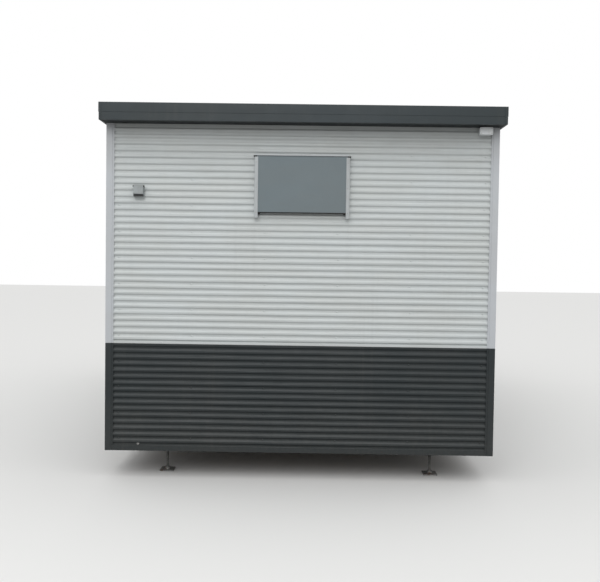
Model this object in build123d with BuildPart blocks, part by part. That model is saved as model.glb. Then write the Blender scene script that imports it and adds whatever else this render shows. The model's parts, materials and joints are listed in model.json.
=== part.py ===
from build123d import *
import os

os.makedirs("parts", exist_ok=True)

# Portable site cabin: ribbed steel walls in two colours on a steel chassis with screw feet.
# The front end wall faces -Y, the ground is Z = 0, and all sizes are in millimetres.

# Overall sizes
cabin_width = 3000.0
cabin_length = 6000.0
wall_bottom = 210.0
dark_band_height = 835.0
wall_face_height = 2516.0
roof_edge_height = 132.0
end_overhang = 144.0
side_overhang = 24.0

# Wall panels and ribbed cladding
wall_thickness = 70.0
sheet = 1.0
rib_pitch = 50.0
rib_depth = 9.0
rib_crest = 14.0
rib_slope = 11.0
first_rib = 22.5

# Trims over the cladding
trim_thickness = 2.0
trim_gap = 0.5
corner_nose_width = 46.0
corner_nose_step = 4.0
corner_trim_leg = 62.0
hem_width = 6.0
hem_thickness = 1.5
dado_trim_height = 20.0
base_trim_height = 42.0

# Floor and chassis
floor_beam_depth = 150.0
floor_beam_flange = 50.0
floor_beam_lift = 15.0
section_wall = 5.0
deck_thickness = 18.0
joist_depth = 60.0
joist_width = 40.0
joist_count = 9
joist_end_gap = 400.0
rail_depth = 130.0
rail_flange = 75.0
rail_wall = 8.0
rail_inset = 445.0
rail_setback = 160.0
rail_end_cut = 40.0
cross_member_depth = 100.0
cross_member_width = 50.0
cross_member_count = 5
cross_member_end_gap = 400.0

# Screw feet
foot_setback = 250.0
screw_diameter = 22.0
screw_clearance = 0.3
screw_top_clearance = 25.0
flange_hole_clearance = 1.5
nut_across_flats = 36.0
nut_height = 24.0
foot_plate_size = 110.0
foot_plate_thickness = 10.0
foot_boss_diameter = 42.0
foot_boss_height = 18.0

# Roof
fascia_sheet = 2.0
fascia_lap_height = 59.0
fascia_return = 25.0
side_fascia_thickness = 18.0
capping_thickness = 2.0
capping_flange = 60.0
capping_hem = 12.0
lining_thickness = 10.0
roof_panel_thickness = 80.0
roof_fall = 20.0
roof_rib_pitch = 190.0
roof_rib_height = 24.0
roof_rib_crest = 22.0
roof_rib_slope = 12.0
roof_sheet_clearance = 1.0

# Windows with their closed steel shutters
window_width = 600.0
window_height = 390.0
window_centre = 2277.0
window_frame_width = 40.0
pane_thickness = 6.0
pane_bite = 10.0
pane_clearance = 0.3
shutter_width = 670.0
shutter_height = 427.0
shutter_bite = 10.0
shutter_tray_depth = 24.0
shutter_sheet = 2.0
channel_width = 27.0
channel_depth = 42.0
channel_lip = 3.0
channel_overrun = 44.0
channel_top_gap = 9.0
head_height = 14.0
head_reach = 46.0
head_width = 725.0
stop_across_flats = 15.0
stop_length = 18.0
pivot_reach = 36.0
pivot_overrun = 6.0
seal_height = 7.0
seal_depth = 16.0
seal_setback = 2.0
side_window_inset = 1500.0

# Door, in the right-hand long side
door_opening_width = 880.0
door_opening_height = 2080.0
door_inset = 1500.0
door_frame_face = 25.0
door_flange_width = 45.0
door_flange_thickness = 2.0
door_leaf_thickness = 45.0
door_leaf_gap = 3.0
threshold_height = 15.0
hinge_height = 100.0
hinge_plate = 30.0
hinge_sheet = 3.0
hinge_knuckle = 14.0
hinge_inset = 250.0
handle_plate_width = 45.0
handle_plate_height = 220.0
handle_plate_thickness = 6.0
handle_height = 1000.0
handle_backset = 60.0
handle_stem_diameter = 20.0
handle_stem_length = 38.0
handle_grip_length = 125.0
handle_grip_diameter = 18.0
drip_rail_overrun = 30.0
drip_rail_gap = 12.0
drip_rail_leg = 25.0
drip_rail_drop = 10.0

# Small fittings on the front wall
outlet_width = 84.0
outlet_height = 91.0
outlet_depth = 26.0
outlet_inset = 254.0
outlet_centre = 2212.0
outlet_corner = 8.0
outlet_cover_width = 74.0
outlet_cover_top = 36.0
outlet_cover_bottom = 26.0
outlet_cover_reach = 24.0
outlet_cover_shoulder = 12.0
outlet_cover_wall = 3.0
outlet_lip_reach = 7.0
outlet_lip_height = 7.0
outlet_hinge_diameter = 9.0
outlet_socket_diameter = 44.0
outlet_socket_depth = 12.0
junction_box_width = 98.0
junction_box_height = 58.0
junction_box_depth = 56.0
junction_lid_depth = 14.0
junction_lid_rim = 3.0
junction_inset = 116.0
junction_box_drop = 6.0
junction_corner = 7.0

# Planes and levels worked out from the sizes above
half_width = cabin_width / 2
half_length = cabin_length / 2
crest_reach = sheet + rib_depth
track_reach = crest_reach + trim_thickness
trim_reach = track_reach + corner_nose_step
core_half_width = half_width - trim_reach
core_half_length = half_length - trim_reach
room_half_width = core_half_width - wall_thickness
room_half_length = core_half_length - wall_thickness
soffit_level = wall_bottom + wall_face_height
roof_top = soffit_level + roof_edge_height
wall_top = soffit_level + fascia_sheet
band_top = wall_bottom + dark_band_height
beam_bottom = wall_bottom + floor_beam_lift
beam_top = beam_bottom + floor_beam_depth
floor_top = beam_top + deck_thickness
rail_top = beam_top - joist_depth
rail_bottom = rail_top - rail_depth
rail_centre = half_width - rail_inset
rail_web_face = rail_centre - rail_flange / 2
roof_half_width = half_width + side_overhang
roof_half_length = half_length + end_overhang
side_cover = side_fascia_thickness + capping_thickness
panel_half_width = roof_half_width - side_cover
panel_half_length = roof_half_length - capping_thickness - fascia_sheet
roof_base = wall_top + lining_thickness
lap_level = soffit_level + fascia_lap_height
side_window_offset = half_length - side_window_inset
door_centre = door_inset - half_length

# Each wall is drawn on the outer face of its core: local X runs to the right as seen from
# outside, local Y is the height above the ground, and local Z points outwards.
wall_planes = {
    "front": Plane(origin=(0, -core_half_length, 0), x_dir=(1, 0, 0), z_dir=(0, -1, 0)),
    "rear": Plane(origin=(0, core_half_length, 0), x_dir=(-1, 0, 0), z_dir=(0, 1, 0)),
    "left": Plane(origin=(-core_half_width, 0, 0), x_dir=(0, -1, 0), z_dir=(-1, 0, 0)),
    "right": Plane(origin=(core_half_width, 0, 0), x_dir=(0, 1, 0), z_dir=(1, 0, 0)),
}
wall_half_spans = {
    "front": core_half_width,
    "rear": core_half_width,
    "left": core_half_length,
    "right": core_half_length,
}
window_places = {
    "front": [0.0],
    "rear": [0.0],
    "left": [-side_window_offset, side_window_offset],
    "right": [side_window_offset],
}


def spot_plane(side, along, height, out=0.0):
    """Plane parallel to a wall, centred on a spot of it and moved outwards."""
    base = wall_planes[side]
    origin = base.from_local_coords((along, height, out))
    return Plane(origin=origin, x_dir=base.x_dir, z_dir=base.z_dir)


def section_plane(side, along):
    """Plane across a wall at a distance along it: local X outwards, local Y up."""
    base = wall_planes[side]
    origin = base.from_local_coords((along, 0, 0))
    return Plane(origin=origin, x_dir=base.z_dir, z_dir=base.x_dir * -1)


def window_planes(out=0.0):
    """Planes centred on every window, moved outwards."""
    return [
        spot_plane(side, along, window_centre, out)
        for side, places in window_places.items()
        for along in places
    ]


def wall_holes(side, mode):
    """Window and door holes of a wall, drawn in the open sketch on that wall's plane."""
    for along in window_places[side]:
        with Locations((along, window_centre)):
            Rectangle(window_width, window_height, mode=mode)
    if side == "right":
        with Locations((door_centre, floor_top + door_opening_height / 2)):
            Rectangle(door_opening_width, door_opening_height, mode=mode)


# Chassis rails: two channels with their webs inwards and their lower ends cut back
rail_half_length = half_length - rail_setback
foot_row = half_length - foot_setback
with BuildPart() as chassis_rails:
    for hand in (-1, 1):
        with BuildSketch(Plane.XZ.offset(-rail_half_length)):
            with Locations((hand * rail_centre, (rail_bottom + rail_top) / 2)):
                Rectangle(rail_flange, rail_depth)
            with Locations((hand * (rail_centre + rail_wall), (rail_bottom + rail_top) / 2)):
                Rectangle(rail_flange, rail_depth - 2 * rail_wall, mode=Mode.SUBTRACT)
        extrude(amount=2 * rail_half_length)
    with BuildSketch(Plane.YZ.offset(-half_width)):
        for end in (-1, 1):
            with BuildLine():
                Polyline(
                    (end * rail_half_length, rail_bottom),
                    (end * (rail_half_length - rail_end_cut), rail_bottom),
                    (end * rail_half_length, rail_bottom + rail_end_cut),
                    close=True,
                )
            make_face()
    extrude(amount=cabin_width, mode=Mode.SUBTRACT)
    with BuildSketch(Plane.XY.offset(rail_bottom)):
        with GridLocations(2 * rail_centre, 2 * foot_row, 2, 2):
            Circle(screw_diameter / 2 + flange_hole_clearance)
    extrude(amount=rail_wall, mode=Mode.SUBTRACT)

cross_member_spacing = 2 * (rail_half_length - cross_member_end_gap) / (cross_member_count - 1)
with BuildPart() as cross_members:
    with BuildSketch(Plane.YZ.offset(-rail_web_face)):
        with GridLocations(cross_member_spacing, 1, cross_member_count, 1):
            with Locations((0, (rail_bottom + rail_top) / 2)):
                Rectangle(cross_member_width, cross_member_depth)
                Rectangle(
                    cross_member_width - 2 * section_wall,
                    cross_member_depth - 2 * section_wall,
                    mode=Mode.SUBTRACT,
                )
    extrude(amount=2 * rail_web_face)

# Screw feet: a plate with a boss, a screw standing on it, and the nut under the rail
foot_plate_top = foot_plate_thickness + foot_boss_height
with BuildPart() as foot_plates:
    with GridLocations(2 * rail_centre, 2 * foot_row, 2, 2):
        Box(
            foot_plate_size,
            foot_plate_size,
            foot_plate_thickness,
            align=(Align.CENTER, Align.CENTER, Align.MIN),
        )
        Cylinder(
            foot_boss_diameter / 2,
            foot_plate_top,
            align=(Align.CENTER, Align.CENTER, Align.MIN),
        )

with BuildPart() as jack_screws:
    with BuildSketch(Plane.XY.offset(foot_plate_top)):
        with GridLocations(2 * rail_centre, 2 * foot_row, 2, 2):
            Circle(screw_diameter / 2)
    extrude(amount=rail_top - screw_top_clearance - foot_plate_top)

with BuildPart() as jack_nuts:
    with BuildSketch(Plane.XY.offset(rail_bottom - nut_height)):
        with GridLocations(2 * rail_centre, 2 * foot_row, 2, 2):
            RegularPolygon(nut_across_flats / 2, 6, major_radius=False)
            Circle(screw_diameter / 2 + screw_clearance, mode=Mode.SUBTRACT)
    extrude(amount=nut_height)

# Floor frame: channels round the edge, joists between them and the deck on top
beam_centre = (beam_bottom + beam_top) / 2
with BuildPart() as side_floor_beams:
    for hand in (-1, 1):
        with BuildSketch(Plane.XZ.offset(-core_half_length)):
            with Locations((hand * (core_half_width - floor_beam_flange / 2), beam_centre)):
                Rectangle(floor_beam_flange, floor_beam_depth)
            with Locations(
                (hand * (core_half_width - floor_beam_flange / 2 - section_wall), beam_centre)
            ):
                Rectangle(
                    floor_beam_flange, floor_beam_depth - 2 * section_wall, mode=Mode.SUBTRACT
                )
        extrude(amount=2 * core_half_length)

beam_inner_half_width = core_half_width - floor_beam_flange
with BuildPart() as end_floor_beams:
    for end in (-1, 1):
        with BuildSketch(Plane.YZ.offset(-beam_inner_half_width)):
            with Locations((end * (core_half_length - floor_beam_flange / 2), beam_centre)):
                Rectangle(floor_beam_flange, floor_beam_depth)
            with Locations(
                (end * (core_half_length - floor_beam_flange / 2 - section_wall), beam_centre)
            ):
                Rectangle(
                    floor_beam_flange, floor_beam_depth - 2 * section_wall, mode=Mode.SUBTRACT
                )
        extrude(amount=2 * beam_inner_half_width)

joist_spacing = 2 * (core_half_length - joist_end_gap) / (joist_count - 1)
with BuildPart() as floor_joists:
    with BuildSketch(Plane.YZ.offset(-beam_inner_half_width)):
        with GridLocations(joist_spacing, 1, joist_count, 1):
            with Locations((0, rail_top + joist_depth / 2)):
                Rectangle(joist_width, joist_depth)
    extrude(amount=2 * beam_inner_half_width)

with BuildPart() as floor_deck:
    with BuildSketch(Plane.XY.offset(beam_top)):
        Rectangle(2 * core_half_width, 2 * core_half_length)
    extrude(amount=deck_thickness)


# Wall cores: insulated panels standing on the deck, the long ones between the end ones
wall_half_lengths = {
    "front": core_half_width,
    "rear": core_half_width,
    "left": room_half_length,
    "right": room_half_length,
}
walls = {}
for side, plane in wall_planes.items():
    with BuildPart() as wall:
        with BuildSketch(plane):
            with Locations((0, (floor_top + wall_top) / 2)):
                Rectangle(2 * wall_half_lengths[side], wall_top - floor_top)
            wall_holes(side, Mode.SUBTRACT)
        extrude(amount=-wall_thickness)
    walls[side] = wall


def rib_points():
    """Section of the ribbed sheet and its flat-backed filling, up the whole wall."""
    points = [(0, wall_bottom), (sheet, wall_bottom)]
    centre = wall_bottom + first_rib
    while centre + rib_crest / 2 + rib_slope < wall_top:
        points.append((sheet, centre - rib_crest / 2 - rib_slope))
        points.append((sheet + rib_depth, centre - rib_crest / 2))
        points.append((sheet + rib_depth, centre + rib_crest / 2))
        points.append((sheet, centre + rib_crest / 2 + rib_slope))
        centre += rib_pitch
    points.append((sheet, wall_top))
    points.append((0, wall_top))
    return points


def ribbed_cladding(side, bottom, top):
    """One colour of a wall's ribbed sheet, with that wall's holes cut through it."""
    half_span = wall_half_spans[side]
    with BuildPart() as cladding:
        with BuildSketch(section_plane(side, half_span)):
            with BuildLine():
                Polyline(*rib_points(), close=True)
            make_face()
            with Locations((crest_reach / 2, (bottom + top) / 2)):
                Rectangle(2 * crest_reach, top - bottom, mode=Mode.INTERSECT)
        extrude(amount=2 * half_span)
        with BuildSketch(wall_planes[side]):
            wall_holes(side, Mode.ADD)
        extrude(amount=crest_reach, mode=Mode.SUBTRACT)
    return cladding


lower_claddings = {
    side: ribbed_cladding(side, wall_bottom + trim_thickness, band_top - trim_thickness)
    for side in wall_planes
}
upper_claddings = {side: ribbed_cladding(side, band_top, wall_top) for side in wall_planes}


def corner_trims(bottom, top):
    """Four folded angles over the corners, with a proud nose and hemmed edges."""
    nose = corner_nose_width
    step = corner_nose_step
    leg = corner_trim_leg
    inner = trim_thickness
    one_leg = [
        (0, 0),
        (nose, 0),
        (nose, step),
        (leg - hem_width, step),
        (leg - hem_width, step - hem_thickness),
        (leg, step - hem_thickness),
        (leg, step + inner),
        (nose - inner, step + inner),
        (nose - inner, inner),
        (inner, inner),
    ]
    other_leg = [(inwards, across) for across, inwards in reversed(one_leg[1:-1])]
    with BuildPart() as trims:
        for hand in (-1, 1):
            for end in (-1, 1):
                corner = [
                    (hand * (half_width - across), end * (half_length - inwards))
                    for across, inwards in one_leg + other_leg
                ]
                with BuildSketch(Plane.XY.offset(bottom)):
                    with BuildLine():
                        Polyline(*corner, close=True)
                    make_face()
                extrude(amount=top - bottom)
    return trims


lower_corner_trims = corner_trims(wall_bottom, band_top - trim_thickness)
upper_corner_trims = corner_trims(band_top - trim_thickness + trim_gap, wall_top)


def track_outline(bottom, height):
    """Section of a J-shaped track: a leg under the sheet's edge and a face in front of it."""
    return [
        (0, bottom),
        (track_reach, bottom),
        (track_reach, bottom + height),
        (crest_reach, bottom + height),
        (crest_reach, bottom + trim_thickness),
        (0, bottom + trim_thickness),
    ]


# Dado tracks under the white sheets, split at the door, and base tracks under the dark ones
track_inset = corner_trim_leg - trim_reach + trim_gap
door_edge = door_opening_width / 2 - door_frame_face + door_flange_width + trim_gap
track_runs = {side: [(-span + track_inset, span - track_inset)] for side, span in wall_half_spans.items()}
dado_runs = dict(track_runs)
dado_runs["right"] = [
    (track_runs["right"][0][0], door_centre - door_edge),
    (door_centre + door_edge, track_runs["right"][0][1]),
]
with BuildPart() as dado_trims:
    for side, runs in dado_runs.items():
        for run_start, run_end in runs:
            with BuildSketch(section_plane(side, run_end)):
                with BuildLine():
                    Polyline(*track_outline(band_top - trim_thickness, dado_trim_height), close=True)
                make_face()
            extrude(amount=run_end - run_start)

with BuildPart() as base_trims:
    for side, runs in track_runs.items():
        for run_start, run_end in runs:
            with BuildSketch(section_plane(side, run_end)):
                with BuildLine():
                    Polyline(*track_outline(wall_bottom, base_trim_height), close=True)
                make_face()
            extrude(amount=run_end - run_start)

# Ceiling and soffit linings under the roof panel
with BuildPart() as ceiling_panel:
    with BuildSketch(Plane.XY.offset(wall_top)):
        Rectangle(2 * core_half_width, 2 * core_half_length)
    extrude(amount=lining_thickness)

with BuildPart() as soffit_panels:
    end_depth = panel_half_length - core_half_length - trim_gap
    side_depth = panel_half_width - core_half_width - trim_gap
    with BuildSketch(Plane.XY.offset(wall_top)):
        with GridLocations(1, 2 * panel_half_length - end_depth, 1, 2):
            Rectangle(2 * panel_half_width, end_depth)
        with GridLocations(2 * panel_half_width - side_depth, 1, 2, 1):
            Rectangle(side_depth, 2 * core_half_length)
    extrude(amount=lining_thickness)

# Roof panel: an insulated slab whose top falls to the rear
with BuildPart() as roof_panel:
    with BuildSketch(Plane.YZ.offset(-panel_half_width)):
        with BuildLine():
            Polyline(
                (-panel_half_length, roof_base),
                (panel_half_length, roof_base),
                (panel_half_length, roof_base + roof_panel_thickness - roof_fall),
                (-panel_half_length, roof_base + roof_panel_thickness),
                close=True,
            )
        make_face()
    extrude(amount=2 * panel_half_width)

# Roof sheet: ribbed steel laid along the fall
roof_slope = Plane(
    origin=(0, -panel_half_length, roof_base + roof_panel_thickness),
    x_dir=(-1, 0, 0),
    z_dir=(0, 2 * panel_half_length, -roof_fall),
)
roof_sheet_half_width = panel_half_width - roof_sheet_clearance
roof_rib_count = int(2 * roof_sheet_half_width // roof_rib_pitch)
first_roof_rib = -(roof_rib_count - 1) * roof_rib_pitch / 2
roof_line = [(-roof_sheet_half_width, sheet)]
for index in range(roof_rib_count):
    rib_centre = first_roof_rib + index * roof_rib_pitch
    roof_line.append((rib_centre - roof_rib_crest / 2 - roof_rib_slope, sheet))
    roof_line.append((rib_centre - roof_rib_crest / 2, sheet + roof_rib_height))
    roof_line.append((rib_centre + roof_rib_crest / 2, sheet + roof_rib_height))
    roof_line.append((rib_centre + roof_rib_crest / 2 + roof_rib_slope, sheet))
roof_line.append((roof_sheet_half_width, sheet))
roof_underside = [(across, height - sheet) for across, height in reversed(roof_line)]
with BuildPart() as roof_sheet:
    with BuildSketch(roof_slope.offset(roof_sheet_clearance)):
        with BuildLine():
            Polyline(*roof_line, *roof_underside, close=True)
        make_face()
    extrude(amount=2 * (panel_half_length - roof_sheet_clearance))

# Fascias: folded sheets across the ends, closed box sections along the sides
fascia_top = roof_top - capping_thickness
with BuildPart() as end_fascias:
    for end in (-1, 1):
        with BuildSketch(Plane.YZ.offset(-panel_half_width + trim_gap)):
            with BuildLine():
                Polyline(
                    (end * panel_half_length, fascia_top),
                    (end * (panel_half_length + fascia_sheet), fascia_top),
                    (end * (panel_half_length + fascia_sheet), soffit_level),
                    (end * (panel_half_length - fascia_return), soffit_level),
                    (end * (panel_half_length - fascia_return), soffit_level + fascia_sheet),
                    (end * panel_half_length, soffit_level + fascia_sheet),
                    close=True,
                )
            make_face()
        extrude(amount=2 * (panel_half_width - trim_gap))

with BuildPart() as side_fascias:
    with BuildSketch(Plane.XY.offset(soffit_level)):
        with GridLocations(2 * panel_half_width + side_fascia_thickness, 1, 2, 1):
            Rectangle(side_fascia_thickness, 2 * roof_half_length)
    extrude(amount=fascia_top - soffit_level)

# Cappings: folded over the top of the fascias, the side ones notched for the end ones
def capping_outline(sign, edge):
    """Cross-section of a capping whose outer face stands at a distance from the centre."""
    inner_edge = edge - capping_flange
    outline = [
        (edge, lap_level),
        (edge, roof_top),
        (inner_edge, roof_top),
        (inner_edge, roof_top - capping_hem),
        (inner_edge + capping_thickness, roof_top - capping_hem),
        (inner_edge + capping_thickness, fascia_top),
        (edge - capping_thickness, fascia_top),
        (edge - capping_thickness, lap_level),
    ]
    return [(sign * reach, height) for reach, height in outline]


with BuildPart() as end_cappings:
    for end in (-1, 1):
        with BuildSketch(Plane.YZ.offset(-panel_half_width + trim_gap)):
            with BuildLine():
                Polyline(*capping_outline(end, roof_half_length), close=True)
            make_face()
        extrude(amount=2 * (panel_half_width - trim_gap))

with BuildPart() as side_cappings:
    for hand in (-1, 1):
        with BuildSketch(Plane.XZ.offset(-roof_half_length)):
            with BuildLine():
                Polyline(*capping_outline(hand, roof_half_width), close=True)
            make_face()
        extrude(amount=2 * roof_half_length)
    with BuildSketch(Plane.XY.offset(lap_level)):
        with GridLocations(1, 2 * roof_half_length - capping_flange - trim_gap, 1, 2):
            Rectangle(2 * panel_half_width, capping_flange + trim_gap)
    extrude(amount=roof_top - lap_level, mode=Mode.SUBTRACT)

# Windows: a frame lining each hole, with a pane held in its groove
inner_width = window_width - 2 * window_frame_width
inner_height = window_height - 2 * window_frame_width
with BuildPart() as window_frames:
    with BuildSketch(*window_planes()):
        Rectangle(window_width, window_height)
        Rectangle(inner_width, inner_height, mode=Mode.SUBTRACT)
    extrude(amount=-wall_thickness)
    with BuildSketch(*window_planes(-(wall_thickness - pane_thickness) / 2 + pane_clearance)):
        Rectangle(inner_width + 2 * pane_bite, inner_height + 2 * pane_bite)
    extrude(amount=-pane_thickness - 2 * pane_clearance, mode=Mode.SUBTRACT)

with BuildPart() as window_panes:
    with BuildSketch(*window_planes(-(wall_thickness - pane_thickness) / 2)):
        Rectangle(
            inner_width + 2 * (pane_bite - pane_clearance),
            inner_height + 2 * (pane_bite - pane_clearance),
        )
    extrude(amount=-pane_thickness)

# Shutters: a folded steel tray in two side channels, under a head, on two stops, with a seal
shutter_bottom = -shutter_height / 2
channel_centre = shutter_width / 2 + channel_width / 2
channel_bottom = shutter_bottom - channel_overrun
channel_length = shutter_height + channel_overrun - channel_top_gap
tray_face = channel_depth - channel_lip - pane_clearance
tray_half_width = shutter_width / 2 + shutter_bite
with BuildPart() as shutter_panels:
    with BuildSketch(*window_planes(crest_reach + tray_face)):
        Rectangle(2 * tray_half_width, shutter_height)
    extrude(amount=-shutter_tray_depth)
    with BuildSketch(*window_planes(crest_reach + tray_face - shutter_tray_depth)):
        Rectangle(2 * (tray_half_width - shutter_sheet), shutter_height - 2 * shutter_sheet)
    extrude(amount=shutter_tray_depth - shutter_sheet, mode=Mode.SUBTRACT)

slot_depth = shutter_bite + 2 * pane_clearance
with BuildPart() as shutter_channels:
    with BuildSketch(*window_planes(crest_reach)):
        with Locations((0, channel_bottom + channel_length / 2)):
            with GridLocations(2 * channel_centre, 1, 2, 1):
                Rectangle(channel_width, channel_length)
    extrude(amount=channel_depth)
    with BuildSketch(*window_planes(crest_reach + channel_lip)):
        with Locations((0, channel_bottom + channel_length / 2)):
            with GridLocations(shutter_width + slot_depth, 1, 2, 1):
                Rectangle(slot_depth, channel_length)
    extrude(amount=channel_depth - 2 * channel_lip, mode=Mode.SUBTRACT)

pivot_start = shutter_bite + trim_gap
pivot_width = channel_width + pivot_overrun - pivot_start
with BuildPart() as shutter_pivots:
    with BuildSketch(*window_planes(crest_reach)):
        with Locations((0, (shutter_height - channel_top_gap) / 2)):
            with GridLocations(shutter_width + 2 * pivot_start + pivot_width, 1, 2, 1):
                Rectangle(pivot_width, channel_top_gap)
    extrude(amount=pivot_reach)

with BuildPart() as shutter_heads:
    with BuildSketch(*window_planes(crest_reach)):
        with Locations((0, shutter_height / 2 + head_height / 2)):
            Rectangle(head_width, head_height)
    extrude(amount=head_reach)
    with BuildSketch(*window_planes(crest_reach)):
        with Locations((0, shutter_height / 2 + (head_height - channel_lip) / 2)):
            Rectangle(head_width - 2 * channel_lip, head_height - channel_lip)
    extrude(amount=head_reach - channel_lip, mode=Mode.SUBTRACT)

with BuildPart() as shutter_stops:
    for side, places in window_places.items():
        for along in places:
            for hand in (-1, 1):
                spot = spot_plane(
                    side,
                    along + hand * shutter_width / 2,
                    window_centre + shutter_bottom - stop_across_flats / 2,
                    crest_reach + tray_face - shutter_tray_depth / 2,
                )
                across = Plane(origin=spot.origin, x_dir=spot.z_dir, z_dir=spot.x_dir * -hand)
                with BuildSketch(across):
                    RegularPolygon(stop_across_flats / 2, 6, major_radius=False)
                extrude(amount=stop_length)

with BuildPart() as shutter_seals:
    with BuildSketch(*window_planes(crest_reach + tray_face - seal_setback)):
        with Locations((0, shutter_bottom - seal_height / 2)):
            Rectangle(shutter_width - 2 * (stop_length + trim_gap), seal_height)
    extrude(amount=-seal_depth)

# Door in the right-hand side: jambs and head, threshold, leaf, hinges and handles
door_bottom = floor_top
frame_reach = crest_reach + door_flange_thickness
door_edge_half = door_opening_width / 2
clear_half = door_edge_half - door_frame_face


def door_spot(along, height, out):
    """Plane on the door's wall, measured from the middle of the doorway and its floor."""
    return spot_plane("right", door_centre + along, door_bottom + height, out)


with BuildPart() as door_frame:
    jamb_height = door_opening_height + door_flange_width - door_frame_face
    for hand in (-1, 1):
        with BuildSketch(door_spot(hand * (door_edge_half - door_frame_face / 2), 0, -wall_thickness)):
            with Locations((0, door_opening_height / 2)):
                Rectangle(door_frame_face, door_opening_height)
        extrude(amount=wall_thickness + frame_reach)
        with BuildSketch(door_spot(hand * (clear_half + door_flange_width / 2), 0, crest_reach)):
            with Locations((0, jamb_height / 2)):
                Rectangle(door_flange_width, jamb_height)
        extrude(amount=door_flange_thickness)
    head_half = clear_half - trim_gap
    with BuildSketch(door_spot(0, door_opening_height - door_frame_face / 2, -wall_thickness)):
        Rectangle(2 * head_half, door_frame_face)
    extrude(amount=wall_thickness + frame_reach)
    with BuildSketch(door_spot(0, jamb_height - door_flange_width / 2, crest_reach)):
        Rectangle(2 * head_half, door_flange_width)
    extrude(amount=door_flange_thickness)

with BuildPart() as door_threshold:
    with BuildSketch(door_spot(0, threshold_height / 2, -wall_thickness)):
        Rectangle(2 * (clear_half - trim_gap), threshold_height)
    extrude(amount=wall_thickness + frame_reach)

leaf_half_width = clear_half - door_leaf_gap
leaf_bottom = threshold_height + door_leaf_gap
leaf_height = door_opening_height - door_frame_face - door_leaf_gap - leaf_bottom
with BuildPart() as door_leaf:
    with BuildSketch(door_spot(0, leaf_bottom + leaf_height / 2, frame_reach)):
        Rectangle(2 * leaf_half_width, leaf_height)
    extrude(amount=-door_leaf_thickness)

drip_half_width = clear_half + door_flange_width + drip_rail_overrun
drip_foot = door_opening_height + door_flange_width - door_frame_face + drip_rail_gap
drip_section = [
    (crest_reach, 0),
    (crest_reach + drip_rail_leg, -drip_rail_drop / 2),
    (crest_reach + drip_rail_leg, -drip_rail_drop),
    (crest_reach + drip_rail_leg + trim_thickness, -drip_rail_drop),
    (crest_reach + drip_rail_leg + trim_thickness, trim_thickness - drip_rail_drop / 2),
    (crest_reach + trim_thickness, trim_thickness),
    (crest_reach + trim_thickness, drip_rail_leg),
    (crest_reach, drip_rail_leg),
]
with BuildPart() as door_drip_rail:
    with BuildSketch(section_plane("right", door_centre + drip_half_width)):
        with BuildLine():
            Polyline(*[(reach, door_bottom + drip_foot + rise) for reach, rise in drip_section], close=True)
        make_face()
    extrude(amount=2 * drip_half_width)

hinge_heights = [
    leaf_bottom + hinge_inset,
    leaf_bottom + leaf_height / 2,
    leaf_bottom + leaf_height - hinge_inset,
]
with BuildPart() as door_hinges:
    for height in hinge_heights:
        with BuildSketch(door_spot(-clear_half, height, frame_reach)):
            Rectangle(2 * hinge_plate, hinge_height)
        extrude(amount=hinge_sheet)
        knuckle = door_spot(-clear_half, height - hinge_height / 2, frame_reach + hinge_knuckle / 2)
        with BuildSketch(Plane(origin=knuckle.origin, x_dir=(1, 0, 0), z_dir=(0, 0, 1))):
            Circle(hinge_knuckle / 2)
        extrude(amount=hinge_height)

handle_along = leaf_half_width - handle_backset
with BuildPart() as door_handle:
    for face, outward in ((frame_reach, 1), (frame_reach - door_leaf_thickness, -1)):
        plate = door_spot(handle_along, handle_height, face)
        with BuildSketch(plate):
            RectangleRounded(handle_plate_width, handle_plate_height, handle_plate_width / 4)
        extrude(amount=outward * handle_plate_thickness)
        with BuildSketch(plate):
            Circle(handle_stem_diameter / 2)
        extrude(amount=outward * (handle_plate_thickness + handle_stem_length))
        grip = door_spot(
            handle_along + handle_stem_diameter / 2,
            handle_height,
            face + outward * (handle_plate_thickness + handle_stem_length),
        )
        with BuildSketch(Plane(origin=grip.origin, x_dir=(0, 0, 1), z_dir=(0, -1, 0))):
            Circle(handle_grip_diameter / 2)
        extrude(amount=handle_grip_length)

# Power outlet: a box with a round socket, under a hollow hood hinged along its top
outlet_along = outlet_inset - half_width
cover_back = crest_reach + outlet_depth
cover_face = cover_back + outlet_cover_reach
with BuildPart() as power_outlet:
    with BuildSketch(spot_plane("front", outlet_along, outlet_centre, crest_reach)):
        RectangleRounded(outlet_width, outlet_height, outlet_corner)
    extrude(amount=outlet_depth)
    with BuildSketch(spot_plane("front", outlet_along, outlet_centre, cover_back)):
        Circle(outlet_socket_diameter / 2)
    extrude(amount=-outlet_socket_depth, mode=Mode.SUBTRACT)

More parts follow.
